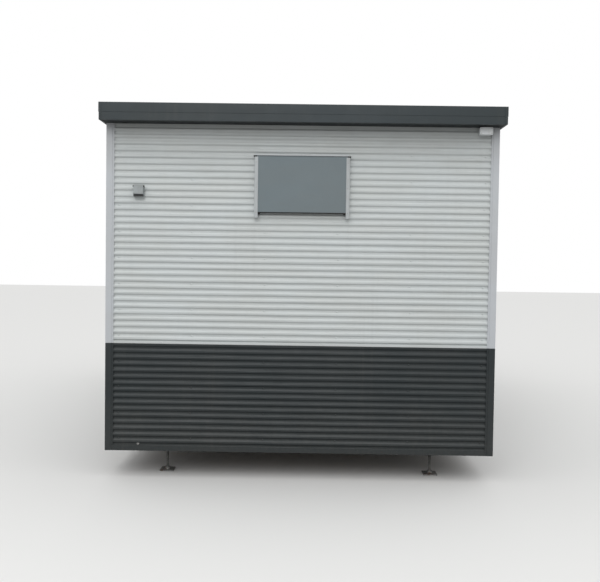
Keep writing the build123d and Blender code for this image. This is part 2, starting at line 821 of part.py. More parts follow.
cover_top_level = outlet_centre + outlet_cover_top
cover_bottom_level = outlet_centre - outlet_cover_bottom
with BuildPart() as outlet_cover:
    with BuildSketch(section_plane("front", outlet_along + outlet_cover_width / 2)):
        with BuildLine():
            Polyline(
                (cover_back, cover_top_level),
                (cover_back + outlet_cover_shoulder, cover_top_level),
                (cover_face, cover_bottom_level + outlet_lip_height),
                (cover_face + outlet_lip_reach, cover_bottom_level + outlet_lip_height),
                (cover_face + outlet_lip_reach, cover_bottom_level),
                (cover_back, cover_bottom_level),
                close=True,
            )
        make_face()
    extrude(amount=outlet_cover_width)
    with BuildSketch(section_plane("front", outlet_along + outlet_cover_width / 2 - outlet_cover_wall)):
        with BuildLine():
            Polyline(
                (cover_back, cover_top_level - outlet_cover_wall),
                (cover_back + outlet_cover_shoulder - outlet_cover_wall, cover_top_level - outlet_cover_wall),
                (cover_face - outlet_cover_wall, cover_bottom_level),
                (cover_back, cover_bottom_level),
                close=True,
            )
        make_face()
    extrude(amount=outlet_cover_width - 2 * outlet_cover_wall, mode=Mode.SUBTRACT)
    hinge_line = spot_plane(
        "front", outlet_along, outlet_centre + outlet_cover_top, cover_back + outlet_hinge_diameter / 2
    )
    with BuildSketch(Plane(origin=hinge_line.origin, x_dir=(0, 0, 1), z_dir=(1, 0, 0))):
        Circle(outlet_hinge_diameter / 2)
    extrude(amount=outlet_width / 2, both=True)

# Junction box tight under the soffit, with a rimmed lid
junction_centre = wall_top - junction_box_drop - junction_box_height / 2
junction_box_along = half_width - junction_inset
with BuildPart() as junction_box:
    with BuildSketch(spot_plane("front", junction_box_along, junction_centre, crest_reach)):
        RectangleRounded(
            junction_box_width - 2 * junction_lid_rim,
            junction_box_height - 2 * junction_lid_rim,
            junction_corner - junction_lid_rim,
        )
    extrude(amount=junction_box_depth)

with BuildPart() as junction_lid:
    with BuildSketch(
        spot_plane("front", junction_box_along, junction_centre, crest_reach + junction_box_depth)
    ):
        RectangleRounded(junction_box_width, junction_box_height, junction_corner)
    extrude(amount=junction_lid_depth)
    chamfer(junction_lid.faces().sort_by(Axis.Y)[0].edges(), length=junction_lid_rim)

pieces = {
    "chassis_rails": chassis_rails,
    "cross_members": cross_members,
    "foot_plates": foot_plates,
    "jack_screws": jack_screws,
    "jack_nuts": jack_nuts,
    "side_floor_beams": side_floor_beams,
    "end_floor_beams": end_floor_beams,
    "floor_joists": floor_joists,
    "floor_deck": floor_deck,
    "dado_trims": dado_trims,
    "base_trims": base_trims,
    "upper_corner_trims": upper_corner_trims,
    "lower_corner_trims": lower_corner_trims,
    "ceiling_panel": ceiling_panel,
    "soffit_panels": soffit_panels,
    "roof_panel": roof_panel,
    "roof_sheet": roof_sheet,
    "end_fascias": end_fascias,
    "side_fascias": side_fascias,
    "end_cappings": end_cappings,
    "side_cappings": side_cappings,
    "window_frames": window_frames,
    "window_panes": window_panes,
    "shutter_panels": shutter_panels,
    "shutter_channels": shutter_channels,
    "shutter_pivots": shutter_pivots,
    "shutter_heads": shutter_heads,
    "shutter_stops": shutter_stops,
    "shutter_seals": shutter_seals,
    "door_frame": door_frame,
    "door_threshold": door_threshold,
    "door_leaf": door_leaf,
    "door_drip_rail": door_drip_rail,
    "door_hinges": door_hinges,
    "door_handle": door_handle,
    "power_outlet": power_outlet,
    "outlet_cover": outlet_cover,
    "junction_box": junction_box,
    "junction_lid": junction_lid,
}
for side in wall_planes:
    pieces[f"{side}_wall"] = walls[side]
    pieces[f"{side}_upper_cladding"] = upper_claddings[side]
    pieces[f"{side}_lower_cladding"] = lower_claddings[side]

for name, piece in pieces.items():
    piece.part.label = name
    export_step(piece.part, f"parts/{name}.step")
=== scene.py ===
import bpy
import json
import math
import random
from functools import partial
from mathutils import Matrix, Vector


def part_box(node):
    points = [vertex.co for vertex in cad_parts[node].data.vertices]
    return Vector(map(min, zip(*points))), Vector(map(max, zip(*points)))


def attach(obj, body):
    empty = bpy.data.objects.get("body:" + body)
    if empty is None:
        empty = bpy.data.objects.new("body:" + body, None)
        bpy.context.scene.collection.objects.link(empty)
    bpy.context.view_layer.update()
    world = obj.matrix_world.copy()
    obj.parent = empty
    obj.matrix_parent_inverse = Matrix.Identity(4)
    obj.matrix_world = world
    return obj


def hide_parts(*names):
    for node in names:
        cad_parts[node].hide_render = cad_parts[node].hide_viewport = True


# portable site cabin: two-tone ribbed steel walls, dark roof edge, shuttered windows, screw feet
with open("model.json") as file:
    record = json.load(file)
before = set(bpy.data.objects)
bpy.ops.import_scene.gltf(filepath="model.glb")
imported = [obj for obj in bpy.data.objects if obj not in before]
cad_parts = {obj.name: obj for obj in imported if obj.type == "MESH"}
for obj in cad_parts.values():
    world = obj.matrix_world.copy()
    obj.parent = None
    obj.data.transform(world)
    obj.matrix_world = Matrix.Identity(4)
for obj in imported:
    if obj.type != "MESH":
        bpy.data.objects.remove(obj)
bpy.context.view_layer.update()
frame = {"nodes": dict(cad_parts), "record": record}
nodes = frame["nodes"]
scene = bpy.context.scene
random.seed(11)
print("frame loaded:", len(nodes), "nodes")

view = {
    "place": (0.043, -8.876, 1.663),
    "pitchDown": 1.934,     # degrees
    "turnLeft": 0.463,
    "roll": 0.807,
    "focalPixels": 766.3,
    "imageWidth": 600,
    "sensor": 36.0,
    "farEnd": 200.0,
}


def makeCamera():
    pitch, turn, roll = (math.radians(view[key]) for key in ("pitchDown", "turnLeft", "roll"))
    ahead = Vector((-math.sin(turn) * math.cos(pitch), math.cos(turn) * math.cos(pitch), -math.sin(pitch)))
    level = Vector((math.cos(turn), math.sin(turn), 0.0))
    upright = level.cross(ahead)
    right = level * math.cos(roll) + upright * math.sin(roll)
    top = upright * math.cos(roll) - level * math.sin(roll)
    lens = bpy.data.cameras.new("photoCamera")
    lens.sensor_width = view["sensor"]
    lens.sensor_fit = "HORIZONTAL"
    lens.lens = view["focalPixels"] * view["sensor"] / view["imageWidth"]
    lens.clip_end = view["farEnd"]
    camera = bpy.data.objects.new("photoCamera", lens)
    scene.collection.objects.link(camera)
    turned = Matrix((right, top, -ahead)).transposed().to_4x4()
    camera.matrix_world = Matrix.Translation(view["place"]) @ turned
    scene.camera = camera


makeCamera()
scene.view_settings.view_transform = "Standard"
print("camera placed")


# helpers for node trees
def feed(value, socket):
    # links an output or sets a constant; colours are given without their alpha
    if isinstance(value, bpy.types.NodeSocket):
        socket.id_data.links.new(value, socket)
    elif socket.type == "RGBA":
        socket.default_value = (*value, 1.0)
    else:
        socket.default_value = value


def feedNode(node, inputs):
    for key, value in inputs.items():
        feed(value, node.inputs[key])


def addNode(kind, inputs=None, tree=None, **values):
    # stands in its inputs' tree, in a row in the order in which the nodes are made
    inputs = inputs or {}
    if tree is None:
        tree = next(value.id_data for value in inputs.values() if isinstance(value, bpy.types.NodeSocket))
    node = tree.nodes.new(kind)
    node.location.x = 180 * len(tree.nodes)
    for key, value in values.items():
        setattr(node, key, value)
    feedNode(node, inputs)
    return node


def mathNode(operation, first, second=0.5, clamp=False):
    inputs = {0: first, 1: second}
    return addNode("ShaderNodeMath", inputs, operation=operation, use_clamp=clamp).outputs[0]


plus = partial(mathNode, "ADD")
minus = partial(mathNode, "SUBTRACT")
times = partial(mathNode, "MULTIPLY")


def rangeNode(value, low, high, toLow=0.0, toHigh=1.0, kind="SMOOTHSTEP"):
    inputs = {"Value": value, "From Min": low, "From Max": high, "To Min": toLow, "To Max": toHigh}
    return addNode("ShaderNodeMapRange", inputs, interpolation_type=kind).outputs["Result"]


def noiseNode(vector, stretch, detail, roughness=0.55, offset=(0, 0, 0)):
    mapping = addNode("ShaderNodeMapping", {"Vector": vector, "Scale": stretch, "Location": offset})
    inputs = {"Vector": mapping.outputs["Vector"], "Scale": 1.0, "Detail": detail, "Roughness": roughness}
    return addNode("ShaderNodeTexNoise", inputs).outputs["Fac"]


def patchNode(vector, stretch, detail, span, out=(0.0, 1.0), roughness=0.55, offset=(0, 0, 0)):
    # noise cut down to soft patches
    return rangeNode(noiseNode(vector, stretch, detail, roughness, offset), *span, *out)


def splitNode(vector):
    return addNode("ShaderNodeSeparateXYZ", {"Vector": vector}).outputs


def mixNode(factor, under, over, kind="RGBA"):
    inputs = {"Factor": factor, "A": under, "B": over}
    return addNode("ShaderNodeMix", inputs, data_type=kind).outputs["Result"]


def trueNormal(beside):
    return addNode("ShaderNodeNewGeometry", tree=beside.id_data).outputs["Normal"]


# effects shared by several finishes
def newGroup(name, outputs=("Mask",), **inputs):
    # a place and the named numbers go in, the named values come out
    tree = bpy.data.node_groups.new(name, "ShaderNodeTree")
    tree.interface.new_socket("Vector", in_out="INPUT", socket_type="NodeSocketVector")
    for label, number in inputs.items():
        socket = tree.interface.new_socket(label, in_out="INPUT", socket_type="NodeSocketFloat")
        socket.default_value = number
    for label in outputs:
        tree.interface.new_socket(label, in_out="OUTPUT", socket_type="NodeSocketFloat")
    start, end = (addNode(kind, tree=tree) for kind in ("NodeGroupInput", "NodeGroupOutput"))
    return start.outputs, end.inputs


def makeMaskGroup(effect):
    # a place and an amount go in, the mask comes out
    start, end = newGroup(effect.__name__, Amount=0.5)
    feed(mathNode("MULTIPLY", effect(start["Vector"]), start["Amount"], clamp=True), end["Mask"])


# the heights between which the splash, the chips and the grime with painted shade high under the overhang
# fade
dirtAndShadeHeights = {"splash": (0.20, 0.75), "chips": (0.215, 0.46), "underRoof": (2.30, 2.60)}


def rainStreaks(vector):
    # vertical runs of dirt washed down a wall, broken up by a broad cloud
    fine = patchNode(vector, (34, 34, 0.9), 5, (0.42, 0.78))
    broad = patchNode(vector, (5, 5, 0.35), 3, (0.38, 0.72), offset=(7, 3, 1))
    cloud = patchNode(vector, (0.8, 0.8, 0.6), 2, (0.3, 0.7), offset=(2, 9, 4))
    return times(times(times(fine, broad), cloud), 2.0)


def ledgeDust(vector):
    # dust that settles where the surface looks up
    upward = splitNode(trueNormal(vector))["Z"]
    patch = patchNode(vector, (2.2, 2.2, 3.0), 5, (0.25, 0.75), (0.35, 1.0), offset=(1, 5, 2))
    grain = patchNode(vector, (60, 60, 60), 3, (0.3, 0.7), (0.7, 1.0))
    return times(rangeNode(upward, 0.15, 0.85), times(patch, grain))


def groundSplash(vector):
    # dirt thrown up from the ground, fading out with height
    ragged = noiseNode(vector, (5, 5, 2.5), 6, roughness=0.65)
    shift = times(minus(ragged, 0.5), 0.5)
    height = plus(splitNode(vector)["Z"], shift)
    speck = patchNode(vector, (45, 45, 45), 4, (0.3, 0.65), (0.4, 1.0))
    return times(rangeNode(height, *dirtAndShadeHeights["splash"], 1.0, 0.0), speck)


def makePaintTone():
    # slow drift of tone over a sheet and a fine mottle on top
    start, end = newGroup("paintTone", ("Drift", "Mottle"))
    drift = patchNode(start["Vector"], (1.7, 1.7, 4.2), 4, (0.3, 0.7), roughness=0.6)
    mottle = patchNode(start["Vector"], (9, 9, 9), 6, (0.3, 0.7), roughness=0.6, offset=(4, 4, 4))
    feed(drift, end["Drift"])
    feed(mottle, end["Mottle"])


def makeSheetWaves():
    # thin sheet is never flat: long waves, small dents, the paint's skin, ribs rolled a little unevenly
    start, end = newGroup("sheetWaves", ("Height",), Waves=1.0, Skin=1.0, Roll=0.0)
    vector = start["Vector"]
    layers = (
        (noiseNode(vector, (1.6, 1.6, 2.4), 3, offset=(3, 1, 8)), "Waves", 1.0),
        (noiseNode(vector, (7, 7, 7), 2, offset=(1, 8, 3)), "Waves", 0.12),
        (noiseNode(vector, (260, 260, 260), 2), "Skin", 0.01),
        (noiseNode(vector, (1.3, 1.3, 24), 2, offset=(9, 2, 5)), "Roll", 1.0),
    )
    height = 0.0
    for layer, key, share in layers:
        height = plus(height, times(layer, times(start[key], share)))
    feed(height, end["Height"])


def edgeWear(vector):
    # bare edges: where a rounded normal leaves the true one, broken up by noise
    soft = addNode("ShaderNodeBevel", {"Radius": 0.004}, vector.id_data, samples=4)
    normals = {0: trueNormal(vector), 1: soft.outputs["Normal"]}
    same = addNode("ShaderNodeVectorMath", normals, operation="DOT_PRODUCT").outputs["Value"]
    chip = patchNode(vector, (30, 30, 30), 6, (0.5, 0.62), roughness=0.7)
    return times(rangeNode(same, 0.98, 0.8), chip)


def makeRustBloom():
    # patches of rust with a soft halo, as a mask and a light-to-dark value
    start, end = newGroup("rustBloom", ("Mask", "Depth"), Spread=0.5)
    patch = noiseNode(start["Vector"], (11, 11, 11), 8, roughness=0.68)
    level = minus(0.75, times(start["Spread"], 0.4))
    feed(rangeNode(patch, level, plus(level, 0.08)), end["Mask"])
    feed(patchNode(start["Vector"], (70, 70, 70), 6, (0.3, 0.7), roughness=0.7), end["Depth"])


drips = {
    "across": 0.362,        # from the window's middle to its channels
    "width": 0.034,
    "top": 2.030,
    "length": 0.75,
    "windowAlong": 1.5,     # the side windows' middles
    "sideWall": 1.45,
}


def windowDrips(vector):
    # faint runs of dirt under the two channels of every window
    place = splitNode(vector)
    across = mathNode("ABSOLUTE", place["X"])
    along = minus(mathNode("ABSOLUTE", place["Y"]), drips["windowAlong"])
    onSide = mathNode("GREATER_THAN", across, drips["sideWall"])
    fromMiddle = mixNode(onSide, across, mathNode("ABSOLUTE", along), "FLOAT")
    offLine = mathNode("ABSOLUTE", minus(fromMiddle, drips["across"]))
    band = rangeNode(offLine, 0.0, drips["width"], 1.0, 0.0)
    fade = rangeNode(place["Z"], drips["top"] - drips["length"], drips["top"])
    below = times(fade, mathNode("LESS_THAN", place["Z"], drips["top"]))
    ragged = patchNode(vector, (90, 90, 2.2), 4, (0.35, 0.65))
    return times(band, times(below, ragged))


def makeFineMarks():
    # specks of dirt and short fine scratches, seen from close by
    start, end = newGroup("fineMarks", Specks=0.3, Scuffs=0.3)
    vector = start["Vector"]
    speck = patchNode(vector, (330, 330, 330), 2, (0.66, 0.72))
    level = patchNode(vector, (7, 7, 420), 3, (0.66, 0.70), offset=(3, 2, 1))
    steep = patchNode(vector, (420, 420, 9), 3, (0.68, 0.72), offset=(5, 1, 7))
    patch = patchNode(vector, (2.6, 2.6, 2.6), 3, (0.48, 0.68), offset=(8, 8, 8))
    lines = times(mathNode("MAXIMUM", level, steep), patch)
    specks = times(speck, start["Specks"])
    feed(mathNode("MAXIMUM", specks, times(lines, start["Scuffs"])), end["Mask"])


handleLow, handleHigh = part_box("door_handle")


def handSmudge(vector):
    # grease and dirt left by hands round the door's handle
    ends = {0: vector, 1: (handleLow + handleHigh) / 2}
    away = addNode("ShaderNodeVectorMath", ends, operation="DISTANCE").outputs["Value"]
    ragged = patchNode(vector, (16, 16, 12), 5, (0.38, 0.68), roughness=0.65)
    return times(rangeNode(away, 0.04, 0.30, 1.0, 0.0), ragged)


def stoneChips(vector):
    # small chips rusting through low on the walls, most of them along the bottom edge
    height = splitNode(vector)["Z"]
    level = rangeNode(height, *dirtAndShadeHeights["chips"], 0.655, 0.86, "LINEAR")
    spot = noiseNode(vector, (75, 75, 75), 6, roughness=0.7, offset=(6, 6, 2))
    return rangeNode(spot, level, plus(level, 0.03))


def underRoofGrimeAndShade(vector):
    # dust and webs that rain never washes off, together with painted shade of the overhang, darker high up
    # under it
    rise = rangeNode(splitNode(vector)["Z"], *dirtAndShadeHeights["underRoof"])
    patch = patchNode(vector, (1.7, 1.7, 4.0), 5, (0.3, 0.7), (0.65, 1.0), 0.62, (4, 4, 9))
    return times(rise, patch)


makePaintTone()
makeSheetWaves()
makeRustBloom()
makeFineMarks()
paintDirtAndShade = (rainStreaks, windowDrips, underRoofGrimeAndShade, handSmudge, ledgeDust, groundSplash, stoneChips)
for effect in (*paintDirtAndShade, edgeWear):
    makeMaskGroup(effect)
print("shared effects ready")

# finishes
dustColour = (0.30, 0.275, 0.235)
# dark grime colour, which the grime under the roof also lays on as painted shade
grimeAndShadeColour = (0.105, 0.098, 0.086)
rustTones = ((0.040, 0.020, 0.013), (0.155, 0.066, 0.030))


def newMaterial(name):
    material = bpy.data.materials.new(name)
    material.use_nodes = True
    tree = material.node_tree
    tree.nodes.clear()
    shader = addNode("ShaderNodeBsdfPrincipled", tree=tree)
    addNode("ShaderNodeOutputMaterial", {"Surface": shader.outputs["BSDF"]})
    return material, shader, addNode("ShaderNodeTexCoord", tree=tree).outputs["Object"]


def useGroup(effect, vector, **values):
    inputs = {"Vector": vector, **values}
    return addNode("ShaderNodeGroup", inputs, node_tree=bpy.data.node_groups[effect]).outputs


def maskOf(effect, vector, amount):
    # no nodes where there is none of the effect
    return useGroup(effect, vector, Amount=amount)["Mask"] if amount else None


def layOver(mask, colour, over):
    return mixNode(mask, colour, over) if mask else colour


def addBump(shader, height, distance, strength=0.3):
    inputs = {"Height": height, "Distance": distance, "Strength": strength}
    feed(addNode("ShaderNodeBump", inputs).outputs["Normal"], shader.inputs["Normal"])


# what every paint has unless it says otherwise
plainPaint = {
    "darker": 0.82, "rough": 0.36, "specular": 0.5, "waves": 1.0, "skin": 1.0, "roll": 0.0,
    "bump": (0.012, 0.55), "specks": 0.10, "scuffs": 0.12, "dustColour": (0.200, 0.200, 0.185),
    "rainStreaks": 0.10, "windowDrips": 0.0, "underRoofGrimeAndShade": 0.0, "handSmudge": 0.0,
    "ledgeDust": 0.35, "groundSplash": 0.0, "stoneChips": 0.0,
}
paints = {
    "whitePaint": {
        "colour": (0.667, 0.710, 0.714), "warm": (0.640, 0.665, 0.648), "drift": 0.60, "mottle": 0.12,
        "rough": 0.34, "dustColour": (0.420, 0.415, 0.385), "specks": 0.16, "scuffs": 0.10,
        # the grime under the roof is partly painted shade of the overhang
        "rainStreaks": 0.03, "windowDrips": 0.07, "underRoofGrimeAndShade": 0.20, "ledgeDust": 0.14,
    },
    "darkPaint": {
        "colour": (0.0345, 0.0428, 0.0458), "warm": (0.044, 0.050, 0.051), "drift": 0.7, "mottle": 0.40,
        "rough": 0.31, "specular": 0.36, "dustColour": (0.135, 0.142, 0.140), "rainStreaks": 0.09,
        "ledgeDust": 0.07, "groundSplash": 0.06, "stoneChips": 0.85,
    },
    "fasciaPaint": {
        "colour": (0.0300, 0.0435, 0.0500), "warm": (0.031, 0.041, 0.042), "drift": 0.6, "mottle": 0.2,
        "specular": 0.45, "waves": 0.5, "specks": 0.12,
    },
    # the soffit's own dark paint, made darker than the fascia's as painted shade under the overhang
    "soffitPaintAndShade": {
        "colour": (0.0140, 0.0196, 0.0224), "warm": (0.016, 0.020, 0.020), "drift": 0.5, "mottle": 0.3,
        "rough": 0.5, "specular": 0.3, "waves": 0.6, "scuffs": 0.0, "rainStreaks": 0.0, "ledgeDust": 0.0,
    },
    "shutterPaint": {
        "colour": (0.185, 0.231, 0.251), "warm": (0.191, 0.218, 0.224), "drift": 0.4, "mottle": 0.10,
        "rough": 0.42, "waves": 0.6, "skin": 1.2, "specks": 0.20, "scuffs": 0.16,
        "dustColour": (0.290, 0.285, 0.265),
    },
}
# the door is in the shutters' grey and more worn; the white corners are slightly bluer than the walls
paints["doorPaint"] = dict(paints["shutterPaint"], drift=0.5, mottle=0.14, rough=0.40, waves=1.0, specks=0.22,
                           scuffs=0.30, rainStreaks=0.22, handSmudge=0.42, groundSplash=0.34)
paints["cornerPaint"] = dict(paints["whitePaint"], colour=(0.614, 0.646, 0.678), warm=(0.589, 0.605, 0.616))
paints["whiteSheet"] = dict(paints["whitePaint"], roll=1.0)
paints["darkSheet"] = dict(paints["darkPaint"], roll=1.0)
roughRise = {"ledgeDust": 0.35, "groundSplash": 0.3, "stoneChips": 0.4, "mottle": 0.08}


def makePaint(name):
    look = {**plainPaint, **paints[name]}
    material, shader, vector = newMaterial(name)
    tone = useGroup("paintTone", vector)
    darker = tuple(channel * look["darker"] for channel in look["colour"])
    colour = mixNode(times(tone["Drift"], look["drift"]), look["colour"], look["warm"])
    colour = mixNode(times(tone["Mottle"], look["mottle"]), colour, darker)
    marks = useGroup("fineMarks", vector, Specks=look["specks"], Scuffs=look["scuffs"])["Mask"]
    masks = {"mottle": tone["Mottle"]}
    overs = {"ledgeDust": look["dustColour"], "groundSplash": dustColour,
             "stoneChips": mixNode(tone["Mottle"], *rustTones)}
    # each kind of dirt in turn; the grime under the roof also lays on painted shade
    for effect in paintDirtAndShade:
        key = effect.__name__
        if effect is handSmudge:    # the fine marks lie right under it
            colour = mixNode(marks, colour, grimeAndShadeColour)
        masks[key] = maskOf(key, vector, look[key])
        colour = layOver(masks[key], colour, overs.get(key, grimeAndShadeColour))
    rough = look["rough"]
    for key, rise in roughRise.items():
        if masks[key]:
            rough = mathNode("ADD", rough, times(masks[key], rise), clamp=True)
    feedNode(shader, {"Base Color": colour, "Roughness": rough, "Specular IOR Level": look["specular"]})
    wave = useGroup("sheetWaves", vector, Waves=look["waves"], Skin=look["skin"], Roll=look["roll"])
    addBump(shader, wave["Height"], *look["bump"])
    return material


# finishes of one grain in two tones; a stain and dust lie over some of them
plainGrain = {"detail": 4, "fine": 0.6, "span": (0.3, 0.7), "metallic": 0.0, "dust": 0.0, "bump": 0.0}
board = {
    "detail": 7, "fine": 0.62, "rough": (0.6, 0.8), "bump": 0.0005,
    "stain": {"stretch": (1.4, 1.4, 1.4), "detail": 4, "offset": (5, 5, 5), "span": (0.45, 0.8),
              "amount": 0.35, "colour": grimeAndShadeColour, "roughens": False},
}
aluminium = {
    "tones": ((0.46, 0.49, 0.50), (0.55, 0.58, 0.59)), "metallic": 0.15, "rough": (0.42, 0.58),
    "stain": {"stretch": (14, 14, 5), "detail": 5, "offset": (2, 2, 2), "span": (0.5, 0.8),
              "amount": 0.45, "colour": (0.30, 0.295, 0.27), "roughens": True},
    "dust": 0.4, "bump": 0.0004,
}
grained = {
    "deck": dict(board, grain=(2.5, 40, 40), tones=((0.42, 0.29, 0.16), (0.30, 0.19, 0.10))),
    "lining": dict(board, grain=(3, 3, 3), tones=((0.55, 0.56, 0.54), (0.47, 0.47, 0.44))),
    "panel": dict(board, grain=(4, 4, 4), tones=((0.66, 0.66, 0.62), (0.60, 0.59, 0.54))),
    # the lines of the drawn metal run along the piece
    "aluminium": dict(aluminium, grain=(6, 6, 220)),
    "uprightAluminium": dict(aluminium, grain=(220, 220, 6)),
    "steel": {
        "grain": (40, 40, 500), "tones": ((0.42, 0.42, 0.41), (0.55, 0.55, 0.54)),
        "metallic": 0.9, "rough": (0.28, 0.42), "bump": 0.0003,
    },
    "dullZinc": {
        "grain": (160, 160, 160), "tones": ((0.48, 0.475, 0.46), (0.37, 0.37, 0.36)),
        "metallic": 0.75, "rough": (0.3, 0.45),
    },
    "rubber": {
        "grain": (50, 50, 50), "detail": 5, "fine": 0.65, "span": (0.4, 0.8), "rough": (0.6, 0.8),
        "tones": ((0.012, 0.012, 0.013), (0.030, 0.030, 0.029)), "dust": 0.6, "bump": 0.0004,
    },
}


def makeGrained(name):
    look = {**plainGrain, **grained[name]}
    material, shader, vector = newMaterial(name)
    grain = noiseNode(vector, look["grain"], look["detail"], look["fine"])
    colour = mixNode(rangeNode(grain, *look["span"]), *look["tones"])
    uneven = grain
    if "stain" in look:
        stain = look["stain"]
        cloud = noiseNode(vector, stain["stretch"], stain["detail"], offset=stain["offset"])
        stained = rangeNode(cloud, *stain["span"], 0.0, stain["amount"])
        colour = mixNode(stained, colour, stain["colour"])
        uneven = cloud if stain["roughens"] else grain
    colour = layOver(maskOf("ledgeDust", vector, look["dust"]), colour, dustColour)
    rough = rangeNode(uneven, 0.3, 0.7, *look["rough"])
    feedNode(shader, {"Base Color": colour, "Roughness": rough, "Metallic": look["metallic"]})
    if look["bump"]:
        addBump(shader, grain, look["bump"])
    return material


plastics = {
    "plastic": {"light": (0.365, 0.405, 0.415), "dark": (0.335, 0.360, 0.362), "grime": 0.25},
    "whitePlastic": {"light": (0.855, 0.890, 0.900), "dark": (0.820, 0.845, 0.845), "grime": 0.15},
    # dark grey plastic whose darkness also paints the shade under the outlet's cover
    "darkPlasticAndShade": {"light": (0.130, 0.135, 0.137), "dark": (0.105, 0.108, 0.109), "grime": 0.25},
}


def makePlastic(name):
    look = plastics[name]
    material, shader, vector = newMaterial(name)
    grime = noiseNode(vector, (38, 38, 22), 6, roughness=0.65)
    colour = mixNode(useGroup("paintTone", vector)["Mottle"], look["light"], look["dark"])
    colour = mixNode(rangeNode(grime, 0.5, 0.8, 0.0, look["grime"]), colour, grimeAndShadeColour)
    colour = layOver(maskOf("ledgeDust", vector, 0.5), colour, dustColour)
    feedNode(shader, {"Base Color": colour, "Roughness": rangeNode(grime, 0.3, 0.7, 0.42, 0.6)})
    addBump(shader, noiseNode(vector, (900, 900, 900), 2), 0.0003)
    return material


def makeRustyZinc():
    material, shader, vector = newMaterial("rustyZinc")
    bloom = useGroup("rustBloom", vector, Spread=0.55)
    spangle = addNode("ShaderNodeTexVoronoi", {"Vector": vector, "Scale": 120.0}).outputs["Color"]
    shade = addNode("ShaderNodeSeparateColor", {"Color": spangle}).outputs["Red"]
    colour = mixNode(shade, (0.24, 0.24, 0.235), (0.36, 0.36, 0.35))
    feedNode(shader, {
        "Base Color": mixNode(bloom["Mask"], colour, mixNode(bloom["Depth"], *rustTones)),
        "Roughness": rangeNode(bloom["Mask"], 0.0, 1.0, 0.42, 0.9),
        "Metallic": rangeNode(bloom["Mask"], 0.0, 1.0, 0.7, 0.0),
    })
    addBump(shader, bloom["Depth"], 0.0006, 0.5)
    return material


def makeChassisPaint():
    material, shader, vector = newMaterial("chassisPaint")
    bloom = useGroup("rustBloom", vector, Spread=0.5)
    both = mathNode("MAXIMUM", bloom["Mask"], maskOf("edgeWear", vector, 1.0))
    colour = mixNode(both, (0.018, 0.018, 0.019), mixNode(bloom["Depth"], *rustTones))
    colour = layOver(maskOf("ledgeDust", vector, 0.7), colour, dustColour)
    feedNode(shader, {"Base Color": colour, "Roughness": rangeNode(both, 0.0, 1.0, 0.5, 0.95)})
    addBump(shader, bloom["Depth"], 0.0008, 0.4)
    return material


def makeRoofPaint():
    # puddle marks, runs towards the gutter and a little lichen
    material, shader, vector = newMaterial("roofPaint")
    puddle = noiseNode(vector, (3.2, 1.1, 3), 6, roughness=0.62, offset=(1, 2, 3))
    marks = rangeNode(puddle, 0.42, 0.72, 0.0, 0.62)
    run = patchNode(vector, (24, 0.7, 3), 5, (0.5, 0.8), (0.0, 0.5), offset=(2, 2, 7))
    lichen = patchNode(vector, (26, 26, 26), 8, (0.62, 0.72), (0.0, 0.6), 0.7, (6, 1, 3))
    drift = useGroup("paintTone", vector)["Drift"]
    colour = (0.47, 0.49, 0.49)
    for mask, over in ((drift, (0.41, 0.42, 0.40)), (marks, (0.22, 0.205, 0.175)),
                       (run, (0.17, 0.16, 0.14)), (lichen, (0.10, 0.105, 0.085))):
        colour = mixNode(mask, colour, over)
    feedNode(shader, {"Base Color": colour, "Roughness": rangeNode(puddle, 0.3, 0.7, 0.42, 0.75)})
    addBump(shader, useGroup("sheetWaves", vector, Waves=0.8, Skin=1.0)["Height"], 0.01, 0.5)
    return material


def makeGlass():
    material, shader, vector = newMaterial("paneGlass")
    smear = patchNode(vector, (6, 6, 12), 6, (0.4, 0.8), (0.02, 0.14), roughness=0.65)
    feedNode(shader, {"Base Color": (0.86, 0.92, 0.90), "Roughness": smear,
                      "Transmission Weight": 0.95, "IOR": 1.5})
    return material


finish = {name: makePaint(name) for name in paints}
finish.update({name: makeGrained(name) for name in grained})
finish.update({name: makePlastic(name) for name in plastics})
finish.update(zinc=makeRustyZinc(), chassis=makeChassisPaint(), roof=makeRoofPaint(), glass=makeGlass())
print("finishes ready:", len(finish))

slotFinish = {
    "white_steel": "whitePaint",
    "dark_steel": "darkPaint",
    "fascia_steel": "fasciaPaint",
    "shutter_grey": "shutterPaint",
    "bare_aluminium": "aluminium",
    "roof_steel": "roof",
    "lining_board": "lining",
    "wall_panel": "panel",
    "deck_ply": "deck",
    "chassis_steel": "chassis",
    "screw_steel": "zinc",
    "pane_glass": "glass",
    "fitting_plastic": "plastic",
    "black_rubber": "rubber",
    "handle_metal": "steel",
}
nodeSlots = {part["node"]: part["material_slot"] for part in frame["record"]["subparts"]}
for name, piece in nodes.items():
    piece.data.materials.clear()
    piece.data.materials.append(finish[slotFinish[nodeSlots[name]]])
print("nodes painted")


# helpers for modelling
mesh = {
    "merge": 0.00005,       # metres
    "flat": 0.5,            # degrees; faces nearer to level than this become one
    "smoothBelow": 35,
    "roundAbove": 30,
}


def pick(*pieces):
    # these alone are selected, and the last one is active
    bpy.ops.object.select_all(action="DESELECT")
    for piece in pieces:
        piece.select_set(True)
        bpy.context.view_layer.objects.active = piece


def editMode(mode="FACE"):
    bpy.ops.object.mode_set(mode="EDIT")
    bpy.ops.mesh.select_mode(type=mode)


def objectMode():
    bpy.ops.object.mode_set(mode="OBJECT")


def pickAll():
    bpy.ops.mesh.select_all(action="SELECT")


def pickNone():
    bpy.ops.mesh.select_all(action="DESELECT")


def pickParts(piece, kind, mode, test):
    # picks the faces, edges or corners that pass the test and leaves edit mode on
    editMode(mode)
    pickNone()
    objectMode()
    for part in getattr(piece.data, kind):
        part.select = test(part)
    editMode(mode)


def raiseFaces(rise):
    bpy.ops.transform.translate(value=(0, 0, rise))


def extrudeFaces(rise):
    bpy.ops.mesh.extrude_region_move(TRANSFORM_OT_translate={"value": (0, 0, rise)})


